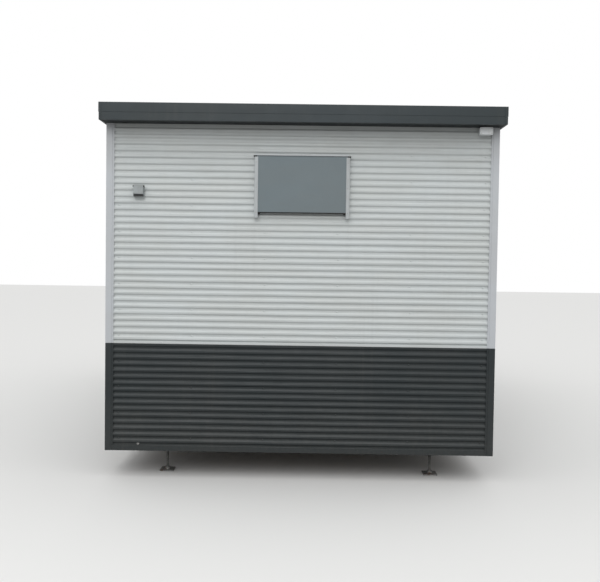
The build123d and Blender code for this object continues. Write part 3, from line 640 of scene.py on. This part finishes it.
def copyNode(node, name):
    # a merged copy of a CAD piece with whole faces in place of its triangles
    piece = bpy.data.objects.new(name, nodes[node].data.copy())
    scene.collection.objects.link(piece)
    pick(piece)
    editMode("VERT")
    pickAll()
    bpy.ops.mesh.remove_doubles(threshold=mesh["merge"])
    bpy.ops.mesh.dissolve_limited(angle_limit=math.radians(mesh["flat"]))
    objectMode()
    bpy.ops.mesh.customdata_custom_splitnormals_clear()
    return piece


def fitPiece(piece, name, slotName, look=None, replaced=()):
    piece.name = name
    piece.data.name = name
    piece.data.materials.clear()
    piece.data.materials.append(finish[look or slotFinish[slotName]])
    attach(piece, "root")
    if replaced:
        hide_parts(*replaced)


def useModifier(piece, name, kind, **values):
    modifier = piece.modifiers.new(name, kind)
    for key, value in values.items():
        setattr(modifier, key, value)
    bpy.ops.object.modifier_apply(modifier=name)


def smoothBends():
    bpy.ops.object.shade_smooth_by_angle(angle=math.radians(mesh["smoothBelow"]))


def evenShading(piece):
    # smooth bends, with the large flat faces kept flat
    pick(piece)
    smoothBends()
    useModifier(piece, "evenNormals", "WEIGHTED_NORMAL", keep_sharp=True)


def roundEdges(piece, width):
    pick(piece)
    useModifier(piece, "softEdges", "BEVEL", width=width, segments=2, limit_method="ANGLE",
                angle_limit=math.radians(mesh["roundAbove"]))
    evenShading(piece)


def turnTo(outward, spin=0.0):
    # turns a part modelled along +Z so that it points outwards
    return Vector(outward).to_track_quat("Z", "Y").to_matrix().to_4x4() @ Matrix.Rotation(spin, 4, "Z")


def joinPieces(*pieces):
    # the last piece takes in the others
    pick(*pieces)
    if len(pieces) > 1:
        bpy.ops.object.join()
    bpy.ops.object.transform_apply()


def placeCopies(master, spots, *fitting):
    # one copy with its own mesh at every spot, then all of them joined at the origin
    copies = []
    for place, outward, *spin in spots:
        copy = master.copy()
        copy.data = master.data.copy()
        scene.collection.objects.link(copy)
        copy.matrix_world = Matrix.Translation(place) @ turnTo(outward, *spin)
        copies.append(copy)
    joinPieces(*reversed(copies))
    bpy.data.objects.remove(master)
    fitPiece(copies[0], *fitting)


# ribbed sheets with the round bends of rolled steel
ribs = {
    "bend": 0.0030,         # from the corner to where the bend ends
    "segments": 3,
    "softestFold": 30,      # degrees; rib folds lie between these two, cut edges above
    "sharpestFold": 45,
    "openings": {           # middle and half width of each hole, along its wall
        "front": [(0.0, 0.30)],
        "rear": [(0.0, 0.30)],
        "left": [(-1.5, 0.30), (1.5, 0.30)],
        "right": [(-1.5, 0.44), (1.5, 0.30)],
    },
}


def splitAtOpenings(side):
    # cuts the long faces at the sides of each hole, so that every strip is a plain rectangle
    across = (1, 0, 0) if side in ("front", "rear") else (0, 1, 0)
    for middle, halfWidth in ribs["openings"][side]:
        for edge in (middle - halfWidth, middle + halfWidth):
            pickAll()
            bpy.ops.mesh.bisect(plane_co=Vector(across) * edge, plane_no=across)


def foldedEdges(piece, angle):
    editMode("EDGE")
    pickNone()
    bpy.ops.mesh.edges_select_sharp(sharpness=math.radians(angle))
    objectMode()
    return {edge.index for edge in piece.data.edges if edge.select}


def makeRibbedSheets():
    for node in sorted(nodes):
        if not node.endswith("cladding"):
            continue
        piece = copyNode(node, node + "Sheet")
        editMode()
        splitAtOpenings(node.split("_")[0])
        objectMode()
        folds = foldedEdges(piece, ribs["softestFold"]) - foldedEdges(piece, ribs["sharpestFold"])
        pickParts(piece, "edges", "EDGE", lambda edge: edge.index in folds)
        bpy.ops.mesh.bevel(offset=ribs["bend"], segments=ribs["segments"], affect="EDGES")
        objectMode()
        evenShading(piece)
        shade = "white" if "upper" in node else "dark"
        fitPiece(piece, "ribbed_" + node, shade + "_steel", shade + "Sheet", (node,))


makeRibbedSheets()
print("ribbed sheets rounded")

# folded and cut parts, each with its own edge radius in metres
edgeRadius = {
    "upper_corner_trims": 0.0007, "lower_corner_trims": 0.0007, "dado_trims": 0.0007,
    "base_trims": 0.0007, "end_fascias": 0.0009, "side_fascias": 0.0022, "end_cappings": 0.0009,
    "side_cappings": 0.0009, "soffit_panels": 0.001, "roof_sheet": 0.0004, "shutter_panels": 0.0008,
    "shutter_channels": 0.0008, "shutter_heads": 0.0009, "shutter_stops": 0.0008,
    # the shutters' black rubber seals and pivots also paint the shade in the gap under each panel and in the
    # slots under its head
    "shutter_seals": 0.0018, "shutter_pivots": 0.0015, "door_drip_rail": 0.0007,
    "door_frame": 0.0008, "door_leaf": 0.002, "door_threshold": 0.0015, "door_hinges": 0.0007,
    "power_outlet": 0.0018, "outlet_cover": 0.0012, "junction_box": 0.0015, "junction_lid": 0.0008,
    "chassis_rails": 0.0025, "cross_members": 0.002, "side_floor_beams": 0.0018,
    "end_floor_beams": 0.0018, "foot_plates": 0.0012, "jack_nuts": 0.0015, "window_frames": 0.001,
}
# the nodes whose finish isn't the one of their slot
ownFinish = {
    "junction_box": "whitePlastic", "junction_lid": "whitePlastic", "soffit_panels": "soffitPaintAndShade",
    "door_leaf": "doorPaint", "shutter_channels": "uprightAluminium", "upper_corner_trims": "cornerPaint",
}


def makeRoundedParts():
    for node, radius in edgeRadius.items():
        piece = copyNode(node, node + "Part")
        roundEdges(piece, radius)
        fitPiece(piece, "rounded_" + node, nodeSlots[node], ownFinish.get(node), (node,))


makeRoundedParts()
print("parts rounded:", len(edgeRadius))

# measures of the walls for the fixings
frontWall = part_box("front_wall")
coreX = frontWall[1].x
coreY = -frontWall[0].y
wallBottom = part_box("lower_corner_trims")[0].z
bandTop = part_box("lower_corner_trims")[1].z
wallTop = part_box("upper_corner_trims")[1].z
doorLow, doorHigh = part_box("door_frame")
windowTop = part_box("shutter_heads")[1].z
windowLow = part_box("shutter_channels")[0].z
wallSides = {
    "front": {"outward": Vector((0, -1, 0)), "core": coreY, "span": coreX, "windows": [0.0]},
    "rear": {"outward": Vector((0, 1, 0)), "core": coreY, "span": coreX, "windows": [0.0]},
    "left": {"outward": Vector((-1, 0, 0)), "core": coreX, "span": coreY, "windows": [-1.5, 1.5]},
    "right": {"outward": Vector((1, 0, 0)), "core": coreX, "span": coreY, "windows": [1.5]},
}
clearZone = {"windowHalf": 0.385, "margin": 0.03}
screws = {
    "acrossFlats": 0.008,
    "headHeight": 0.0045,
    "headEdge": 0.0006,
    "washer": 0.0065,
    "washerHeight": 0.0016,
    "washerSides": 20,
    "washerDome": 0.5,          # of its height, added in the middle
    "washerRim": 0.35,          # share of the washer's radius outside its raised middle
    "ribPitch": 0.050,
    "firstValley": 0.0475,      # from the bottom of the wall
    "everyValley": 4,
    "columnGap": 0.60,
    "fromCorner": 0.085,
    "reach": 0.001,             # of the valleys, from the wall panel
    "jitter": 0.004,
    "upperEnds": (0.04, 0.06),  # clear of the sheet's lower and upper end
    "lowerEnds": (0.05, 0.03),
}


def up(height):
    return Vector((0, 0, height))


def alongWall(outward):
    # the way to the right as seen from outside
    return Vector((-outward.y, outward.x, 0))


def evenRow(reach, gap):
    # places from one end of a wall to the other, about one gap apart
    count = round(2 * reach / gap)
    return [-reach + 2 * reach * index / count for index in range(count + 1)]


def climb(height, highest, gap):
    heights = []
    while height < highest:
        heights.append(height)
        height += gap
    return heights


def addPlane(size=1.0):
    pick()
    bpy.ops.mesh.primitive_plane_add(size=size, location=(0, 0, 0))
    return bpy.context.object


def addCylinder(radius, height, sides, lift=0.0):
    pick()
    bpy.ops.mesh.primitive_cylinder_add(vertices=sides, radius=radius, depth=height,
                                        location=(0, 0, lift + height / 2))
    return bpy.context.object


def pickTop(piece, halfWidth=math.inf):
    # the faces that look up
    pickParts(piece, "polygons", "FACE",
              lambda face: face.normal.z > 0.9 and abs(face.center.y) < halfWidth)


def modelScrew(size=1.0):
    # a hexagon head on a washer with a raised middle
    height = screws["washerHeight"]
    washer = addCylinder(screws["washer"], height, screws["washerSides"])
    pickTop(washer)
    bpy.ops.mesh.inset(thickness=screws["washer"] * screws["washerRim"])
    raiseFaces(height * screws["washerDome"])
    objectMode()
    lift = height * (1 + screws["washerDome"])
    head = addCylinder(screws["acrossFlats"] / math.sqrt(3), screws["headHeight"], 6, lift)
    roundEdges(head, screws["headEdge"])
    joinPieces(head, washer)
    washer.scale = (size, size, size)
    bpy.ops.object.transform_apply()
    return washer


def wallSpot(side, along, height, reach):
    wall = wallSides[side]
    outward = wall["outward"]
    return outward * (wall["core"] + reach) + alongWall(outward) * along + up(height), outward


def isClear(side, along, height):
    # keeps fixings off the windows and the door
    margin = clearZone["margin"]
    for centre in wallSides[side]["windows"]:
        beside = abs(along - centre) < clearZone["windowHalf"] + margin
        if beside and windowLow - margin < height < windowTop + margin:
            return False
    atDoor = doorLow.y - margin < along < doorHigh.y + margin and height < doorHigh.z + margin
    return side != "right" or not atDoor


def screwSpots(lowest, highest):
    spots = []
    for side, wall in wallSides.items():
        for column in evenRow(wall["span"] - screws["fromCorner"], screws["columnGap"]):
            heights = climb(wallBottom + screws["firstValley"], highest, screws["ribPitch"])
            for height in heights[1::screws["everyValley"]]:
                if height > lowest and isClear(side, column, height):
                    along = column + random.uniform(-screws["jitter"], screws["jitter"])
                    spot = wallSpot(side, along, height, screws["reach"])
                    spots.append((*spot, random.uniform(0, math.pi)))
    return spots


def makeSheetScrews():
    low, high = screws["upperEnds"]
    spots = screwSpots(bandTop + low, wallTop - high)
    placeCopies(modelScrew(), spots, "upper_sheet_screws", "white_steel")
    low, high = screws["lowerEnds"]
    spots = screwSpots(wallBottom + low, bandTop - high)
    placeCopies(modelScrew(), spots, "lower_sheet_screws", "dark_steel")


makeSheetScrews()

# one bare replacement screw low on the front sheet
bareScrew = {"along": -1.245, "height": 0.2615, "size": 1.5, "spin": 0.3}


def makeBareScrew():
    place, outward = wallSpot("front", bareScrew["along"], bareScrew["height"], screws["reach"])
    placeCopies(modelScrew(bareScrew["size"]), [(place, outward, bareScrew["spin"])],
                "bare_screw", "screw_steel", "dullZinc")


makeBareScrew()

rivets = {
    "radius": 0.0034,
    "height": 0.0014,
    "top": 0.72,                # share of the radius at the dome's top
    "rings": (0.38, 0.06),      # shares of the radius from the top's edge in to the dimple
    "dimple": 0.7,              # share of the height
    "gap": 0.30,
    "flange": 0.035,            # from the wall panel's end to the middle of the corner trim's flange
    "reach": 0.012,
    "fromEnd": 0.12,
    "dadoRise": 0.010,
    "baseRise": 0.026,
    "firstRise": 0.07,          # clear of the corner trims' lower ends
    "upperDrop": 0.05,          # and of their upper ends
    "lowerDrop": 0.03,
}


def modelRivet():
    # a low dome with a small dimple
    rivet = addCylinder(rivets["radius"], rivets["height"], 16)
    pickTop(rivet)
    bpy.ops.transform.resize(value=(rivets["top"], rivets["top"], 1.0))
    for ring in rivets["rings"]:
        bpy.ops.mesh.inset(thickness=rivets["radius"] * ring)
    raiseFaces(-rivets["height"] * rivets["dimple"])
    objectMode()
    bpy.ops.object.transform_apply()
    smoothBends()
    return rivet


def cornerRivetSpots(lowest, highest):
    spots = []
    for side, wall in wallSides.items():
        edge = wall["span"] - rivets["flange"]
        for along in (-edge, edge):
            for height in climb(lowest, highest, rivets["gap"]):
                spots.append(wallSpot(side, along, height, rivets["reach"]))
    return spots


def trackRivetSpots(height):
    spots = []
    for side, wall in wallSides.items():
        for along in evenRow(wall["span"] - rivets["fromEnd"], rivets["gap"]):
            if isClear(side, along, height):
                spots.append(wallSpot(side, along, height, rivets["reach"]))
    return spots


def makeRivets():
    spots = cornerRivetSpots(bandTop + rivets["firstRise"], wallTop - rivets["upperDrop"])
    spots += trackRivetSpots(bandTop + rivets["dadoRise"])
    placeCopies(modelRivet(), spots, "upper_trim_rivets", "white_steel")
    spots = cornerRivetSpots(wallBottom + rivets["firstRise"], bandTop - rivets["lowerDrop"])
    spots += trackRivetSpots(wallBottom + rivets["baseRise"])
    placeCopies(modelRivet(), spots, "lower_trim_rivets", "dark_steel")


makeRivets()
print("fixings placed")


# small plates, caps and screws of the fittings
def modelPlate(width, height, thickness, corner, edge):
    # lies on its back: X across, Y up, Z outwards; round corners and a soft front edge
    plate = addPlane()
    editMode("VERT")
    pickAll()
    bpy.ops.transform.resize(value=(width, height, 1.0))
    bpy.ops.mesh.bevel(offset=corner, segments=4, affect="VERTICES")
    pickAll()
    extrudeFaces(thickness)
    pickAll()
    bpy.ops.mesh.normals_make_consistent(inside=False)
    objectMode()
    roundEdges(plate, edge)
    return plate


capTop = {"rim": 0.35, "dish": 0.12}    # shares of the radius and the height


def modelCap(radius, height, edge, sides):
    # a round cap with a shallow dish in its top
    cap = addCylinder(radius, height, sides)
    pickTop(cap)
    bpy.ops.mesh.inset(thickness=radius * capTop["rim"])
    raiseFaces(-height * capTop["dish"])
    objectMode()
    bpy.ops.object.transform_apply()
    roundEdges(cap, edge)
    return cap


def looseBoxes(node):
    # the corners of every separate body of a node
    copyNode(node, node + "Bodies")
    editMode()
    pickAll()
    bpy.ops.mesh.separate(type="LOOSE")
    objectMode()
    boxes = []
    for body in list(bpy.context.selected_objects):
        corners = [vertex.co for vertex in body.data.vertices]
        boxes.append((Vector(map(min, zip(*corners))), Vector(map(max, zip(*corners)))))
        bpy.data.objects.remove(body)
    return sorted(boxes, key=lambda box: tuple(round(value, 3) for value in box[0]))


def outwardFace(box):
    # the middle of a body's outer face and the way it looks
    low, high = box
    middle = (low + high) / 2
    axis = 1 if abs(middle.y) / coreY > abs(middle.x) / coreX else 0
    outward = Vector((0, 0, 0))
    outward[axis] = math.copysign(1, middle[axis])
    middle[axis] = (high if outward[axis] > 0 else low)[axis]
    return middle, outward


# black rubber covers on the pivots, partly painted shade of the slots under the shutters' heads
pivotCover = {"width": 0.026, "height": 0.013, "thickness": 0.004, "corner": 0.003, "edge": 0.0008}


def makePivotCovers():
    spots = [outwardFace(box) for box in looseBoxes("shutter_pivots")]
    placeCopies(modelPlate(**pivotCover), spots, "pivot_covers", "black_rubber")


makePivotCovers()

outlet = {
    "knob": {"radius": 0.0060, "height": 0.009, "edge": 0.0008, "sides": 24},
    "knobProud": 0.002,
    "hinge": 0.0045,            # below the cover's top and in front of the box
    "strip": {"width": 0.076, "height": 0.0145, "thickness": 0.003, "corner": 0.002, "edge": 0.0007},
    "stripRise": 0.001,
    "ridge": {"width": 0.0055, "height": 0.010, "thickness": 0.002, "corner": 0.001, "edge": 0.0005},
    "ridges": 7,
    "ridgeRun": 0.82,           # share of the strip's width
    "socket": {"radius": 0.0215, "height": 0.004, "edge": 0.0008, "sides": 32},
    "recess": 0.012,
    "pin": {"width": 0.0022, "height": 0.008, "thickness": 0.001, "corner": 0.0008, "edge": 0.0003},
    "pinSpots": ((-0.007, 0.004, 0.5), (0.007, 0.004, -0.5), (0, -0.008, 0.0)),
    "pinShare": 0.8,            # how deep the pins stand in the socket's face
}


def makeOutletParts():
    low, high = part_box("power_outlet")
    coverLow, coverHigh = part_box("outlet_cover")
    front = Vector((0, -1, 0))
    middle = (low.x + high.x) / 2
    knobReach = (high.x - low.x) / 2 - outlet["knob"]["height"] + outlet["knobProud"]
    knobs = [(Vector((middle + side * knobReach, low.y - outlet["hinge"], coverHigh.z - outlet["hinge"])),
              Vector((side, 0, 0))) for side in (-1, 1)]
    placeCopies(modelCap(**outlet["knob"]), knobs, "outlet_knobs", "black_rubber")
    # the dark strip and ridges below the cover and the black socket inside it are partly their own colour and
    # partly painted shade of the cover's open underside
    stripPlace = Vector((middle, low.y, (low.z + coverLow.z) / 2 + outlet["stripRise"]))
    placeCopies(modelPlate(**outlet["strip"]), [(stripPlace, front)],
                "outlet_strip", "black_rubber", "darkPlasticAndShade")
    gap = outlet["strip"]["width"] * outlet["ridgeRun"] / (outlet["ridges"] - 1)
    ridges = []
    for index in range(outlet["ridges"]):
        shift = Vector(((index - (outlet["ridges"] - 1) / 2) * gap, -outlet["strip"]["thickness"], 0))
        ridges.append((stripPlace + shift, front))
    placeCopies(modelPlate(**outlet["ridge"]), ridges, "outlet_ridges", "black_rubber", "darkPlasticAndShade")
    socketPlace = Vector((middle, low.y + outlet["recess"], (low.z + high.z) / 2))
    placeCopies(modelCap(**outlet["socket"]), [(socketPlace, front)], "outlet_socket", "black_rubber")
    pinPlace = socketPlace + front * outlet["socket"]["height"] * outlet["pinShare"]
    pins = [(pinPlace + Vector((x, 0, z)), front, spin) for x, z, spin in outlet["pinSpots"]]
    placeCopies(modelPlate(**outlet["pin"]), pins, "outlet_pins", "handle_metal")


makeOutletParts()

panScrew = {
    "radius": 0.0032,
    "height": 0.0016,
    "sides": 16,
    "slotWidth": 0.0009,
    "slotDepth": 0.0006,
    "slotReach": 0.4,       # of its width; the faces nearer to the middle sink
}


def modelPanScrew():
    # a low round head with a slot pressed into it
    head = addCylinder(panScrew["radius"], panScrew["height"], panScrew["sides"])
    editMode()
    for side in (-1, 1):
        pickAll()
        bpy.ops.mesh.bisect(plane_co=(0, side * panScrew["slotWidth"] / 2, 0), plane_no=(0, 1, 0))
    objectMode()
    pickTop(head, panScrew["slotWidth"] * panScrew["slotReach"])
    extrudeFaces(-panScrew["slotDepth"])
    objectMode()
    bpy.ops.object.transform_apply()
    smoothBends()
    return head


def plateScrewSpots(centre, outward, halfWidth, halfHeight):
    # one screw at each corner of an upright plate
    across = alongWall(outward)
    return [(centre + across * halfWidth * a + up(halfHeight * b), outward, random.uniform(0, 3))
            for a in (-1, 1) for b in (-1, 1)]


door = {
    "kick": {"width": 0.760, "height": 0.220, "thickness": 0.0012, "corner": 0.008, "edge": 0.0004},
    "kickLift": 0.020,
    "screwInset": 0.016,
    "lock": {"radius": 0.015, "height": 0.0045, "edge": 0.0008, "sides": 32},
    "lockDrop": 0.072,
    "key": {"width": 0.0016, "height": 0.0075, "thickness": 0.0008, "corner": 0.0005, "edge": 0.0002},
    "keyShare": 0.85,           # how deep the keyhole stands in the lock's face
    "hingeAcross": 0.0190,
    "hingeUp": 0.034,
    "hingeSheet": 0.003,
    "platePlace": 0.0225,       # from the handle plate's edge to its middle
    "plateThickness": 0.006,
    "plateScrews": 0.098,
    "screwSpin": 0.4,
}


def makeDoorParts():
    outward = Vector((1, 0, 0))
    leafLow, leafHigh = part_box("door_leaf")
    kick, lock = door["kick"], door["lock"]
    lift = leafLow.z + door["kickLift"] + kick["height"] / 2
    kickPlace = Vector((leafHigh.x, (leafLow.y + leafHigh.y) / 2, lift))
    placeCopies(modelPlate(**kick), [(kickPlace, outward)], "door_kick_plate", "handle_metal")
    kickFront = kickPlace + outward * kick["thickness"]
    halfHeight = kick["height"] / 2 - door["screwInset"]
    spots = plateScrewSpots(kickFront, outward, kick["width"] / 2 - door["screwInset"], halfHeight)
    spots += plateScrewSpots(kickFront, outward, kick["width"] / 6, halfHeight)
    for low, high in looseBoxes("door_hinges"):
        centre = (low + high) / 2
        centre.x = low.x + door["hingeSheet"]
        spots += plateScrewSpots(centre, outward, door["hingeAcross"], door["hingeUp"])
    plateMiddle = Vector((leafHigh.x + door["plateThickness"], handleHigh.y - door["platePlace"],
                          (handleLow.z + handleHigh.z) / 2))
    spots += [(plateMiddle + up(side * door["plateScrews"]), outward, door["screwSpin"]) for side in (-1, 1)]
    placeCopies(modelPanScrew(), spots, "door_screws", "handle_metal")
    lockPlace = plateMiddle - up(door["lockDrop"])
    placeCopies(modelCap(**lock), [(lockPlace, outward)], "door_lock", "handle_metal")
    keyPlace = lockPlace + outward * lock["height"] * door["keyShare"]
    placeCopies(modelPlate(**door["key"]), [(keyPlace, outward)], "door_keyhole", "black_rubber")


makeDoorParts()

channelScrews = {"rises": (-0.19, 0.0, 0.19)}


def makeChannelScrews():
    spots = []
    for box in looseBoxes("shutter_channels"):
        place, outward = outwardFace(box)
        for rise in channelScrews["rises"]:
            spots.append((place + up(rise), outward, random.uniform(0, 3)))
    placeCopies(modelPanScrew(), spots, "channel_screws", "screw_steel", "dullZinc")


makeChannelScrews()

lidScrews = {"inset": 0.010}


def makeLidScrews():
    low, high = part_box("junction_lid")
    centre = (low + high) / 2
    centre.y = low.y
    half = (high - low) / 2
    inset = lidScrews["inset"]
    spots = plateScrewSpots(centre, Vector((0, -1, 0)), half.x - inset, half.z - inset)
    placeCopies(modelPanScrew(), spots, "junction_lid_screws", "handle_metal")


makeLidScrews()

fascia = {"rise": 0.011, "gap": 0.43, "fromEnd": 0.10}


def makeFasciaRivets():
    spots = []
    endLow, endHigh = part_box("end_fascias")
    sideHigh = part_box("side_fascias")[1]
    for side, wall in wallSides.items():
        onEnd = side in ("front", "rear")
        span, reach = (endHigh.x, endHigh.y) if onEnd else (sideHigh.y, sideHigh.x)
        outward = wall["outward"]
        for along in evenRow(span - fascia["fromEnd"], fascia["gap"]):
            place = outward * reach + alongWall(outward) * along + up(endLow.z + fascia["rise"])
            spots.append((place, outward))
    placeCopies(modelRivet(), spots, "fascia_rivets", "fascia_steel")


makeFasciaRivets()

roofScrews = {
    "size": 1.3,
    "rows": (-2.95, -1.77, -0.59, 0.59, 1.77, 2.95),
    "ribPitch": 0.190,
    "fall": 0.020,
    "jitter": 0.008,
}


def makeRoofScrews():
    low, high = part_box("roof_sheet")
    count = int((high.x - low.x) / roofScrews["ribPitch"])
    spots = []
    for row in roofScrews["rows"]:
        height = high.z - roofScrews["fall"] * (row - low.y) / (high.y - low.y)
        for index in range(count):
            across = (index - (count - 1) / 2) * roofScrews["ribPitch"]
            along = row + random.uniform(-roofScrews["jitter"], roofScrews["jitter"])
            spots.append((Vector((across, along, height)), up(1), random.uniform(0, 3)))
    placeCopies(modelScrew(roofScrews["size"]), spots, "roof_screws", "screw_steel")


makeRoofScrews()
print("fittings finished")

# screw feet with their threads
thread = {
    "radius": 0.011,
    "pitch": 0.004,
    "depth": 0.0019,
    "coreDepth": 0.9,       # share of the thread's depth that stands out of the core
    "coreSides": 24,
    "steps": 20,
    "merge": 0.00002,
    "endEdge": 0.0012,
}


def modelThreadTooth():
    # a triangle that points outwards, at the foot of the screw
    tooth = addPlane()
    pickParts(tooth, "vertices", "VERT", lambda vertex: vertex.co.x < 0 and vertex.co.y < 0)
    bpy.ops.mesh.delete(type="VERT")
    pickAll()
    bpy.ops.transform.rotate(value=math.radians(45), orient_axis="Z", center_override=(0, 0, 0))
    bpy.ops.transform.rotate(value=math.radians(-90), orient_axis="X", center_override=(0, 0, 0))
    objectMode()
    reach = max(vertex.co.x for vertex in tooth.data.vertices)
    tall = max(vertex.co.z for vertex in tooth.data.vertices)
    size = (thread["depth"] / reach, 1.0, thread["pitch"] / 2 / tall)
    editMode("VERT")
    pickAll()
    bpy.ops.transform.resize(value=size, center_override=(0, 0, 0))
    bpy.ops.transform.translate(value=(thread["radius"] - thread["depth"], 0, thread["pitch"] / 2))
    objectMode()
    return tooth


def makeThreadedScrews():
    low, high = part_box("jack_screws")
    length = high.z - low.z
    coil = modelThreadTooth()
    useModifier(coil, "coil", "SCREW", screw_offset=thread["pitch"],
                iterations=int(length / thread["pitch"]) - 1, steps=thread["steps"],
                render_steps=thread["steps"], use_merge_vertices=True, merge_threshold=thread["merge"])
    core = addCylinder(thread["radius"] - thread["depth"] * thread["coreDepth"], length, thread["coreSides"])
    roundEdges(core, thread["endEdge"])
    joinPieces(core, coil)
    smoothBends()
    rowX, rowY = high.x - thread["radius"], high.y - thread["radius"]
    spots = [(Vector((x, y, low.z)), up(1), random.uniform(0, 6))
             for x in (-rowX, rowX) for y in (-rowY, rowY)]
    placeCopies(coil, spots, "threaded_screws", "screw_steel", None, ("jack_screws",))


makeThreadedScrews()
print("threads cut")

# floor, sky and lamp
studio = {
    "floorSize": 90.0,
    "floorPale": (0.80, 0.80, 0.79),
    "floorBounce": (0.290, 0.288, 0.284),
    "floorRough": 0.9,
    "floorSpecular": 0.1,
    "skyZenith": 1.12,
    "skyHorizon": 0.652,
    "keyPower": 420.0,
    "keySize": 8.0,
    "keyPlace": (-1.5, -14.0, 9.0),
    "keyAim": (0, -3, 1.6),
}


def seenDirectly(tree):
    # 1 for what the camera sees, also through glass; 0 for light that falls on the cabin
    path = addNode("ShaderNodeLightPath", tree=tree).outputs
    return mathNode("MAXIMUM", path["Is Camera Ray"], path["Is Transmission Ray"])


def makeFloor():
    floor = addPlane(studio["floorSize"])
    floor.name = "studioFloor"
    material, shader, vector = newMaterial("studioFloor")
    colour = mixNode(seenDirectly(vector.id_data), studio["floorBounce"], studio["floorPale"])
    feedNode(shader, {"Base Color": colour, "Roughness": studio["floorRough"],
                      "Specular IOR Level": studio["floorSpecular"]})
    floor.data.materials.append(material)


def makeSky():
    world = bpy.data.worlds.new("studioSky")
    scene.world = world
    world.use_nodes = True
    tree = world.node_tree
    tree.nodes.clear()
    rise = splitNode(addNode("ShaderNodeTexCoord", tree=tree).outputs["Generated"])["Z"]
    dome = rangeNode(rise, 0.0, 1.0, studio["skyHorizon"], studio["skyZenith"], "LINEAR")
    strength = mixNode(seenDirectly(tree), dome, 1.0, "FLOAT")
    background = addNode("ShaderNodeBackground", {"Color": (1.0, 1.0, 1.0), "Strength": strength})
    addNode("ShaderNodeOutputWorld", {"Surface": background.outputs["Background"]})


def makeKeyLamp():
    lamp = bpy.data.lights.new("softKey", "AREA")
    lamp.shape = "SQUARE"
    lamp.size = studio["keySize"]
    lamp.energy = studio["keyPower"]
    holder = bpy.data.objects.new("softKey", lamp)
    scene.collection.objects.link(holder)
    place = Vector(studio["keyPlace"])
    aim = Vector(studio["keyAim"]) - place
    holder.matrix_world = Matrix.Translation(place) @ aim.to_track_quat("-Z", "Y").to_matrix().to_4x4()


makeFloor()
makeSky()
makeKeyLamp()
print("studio ready")
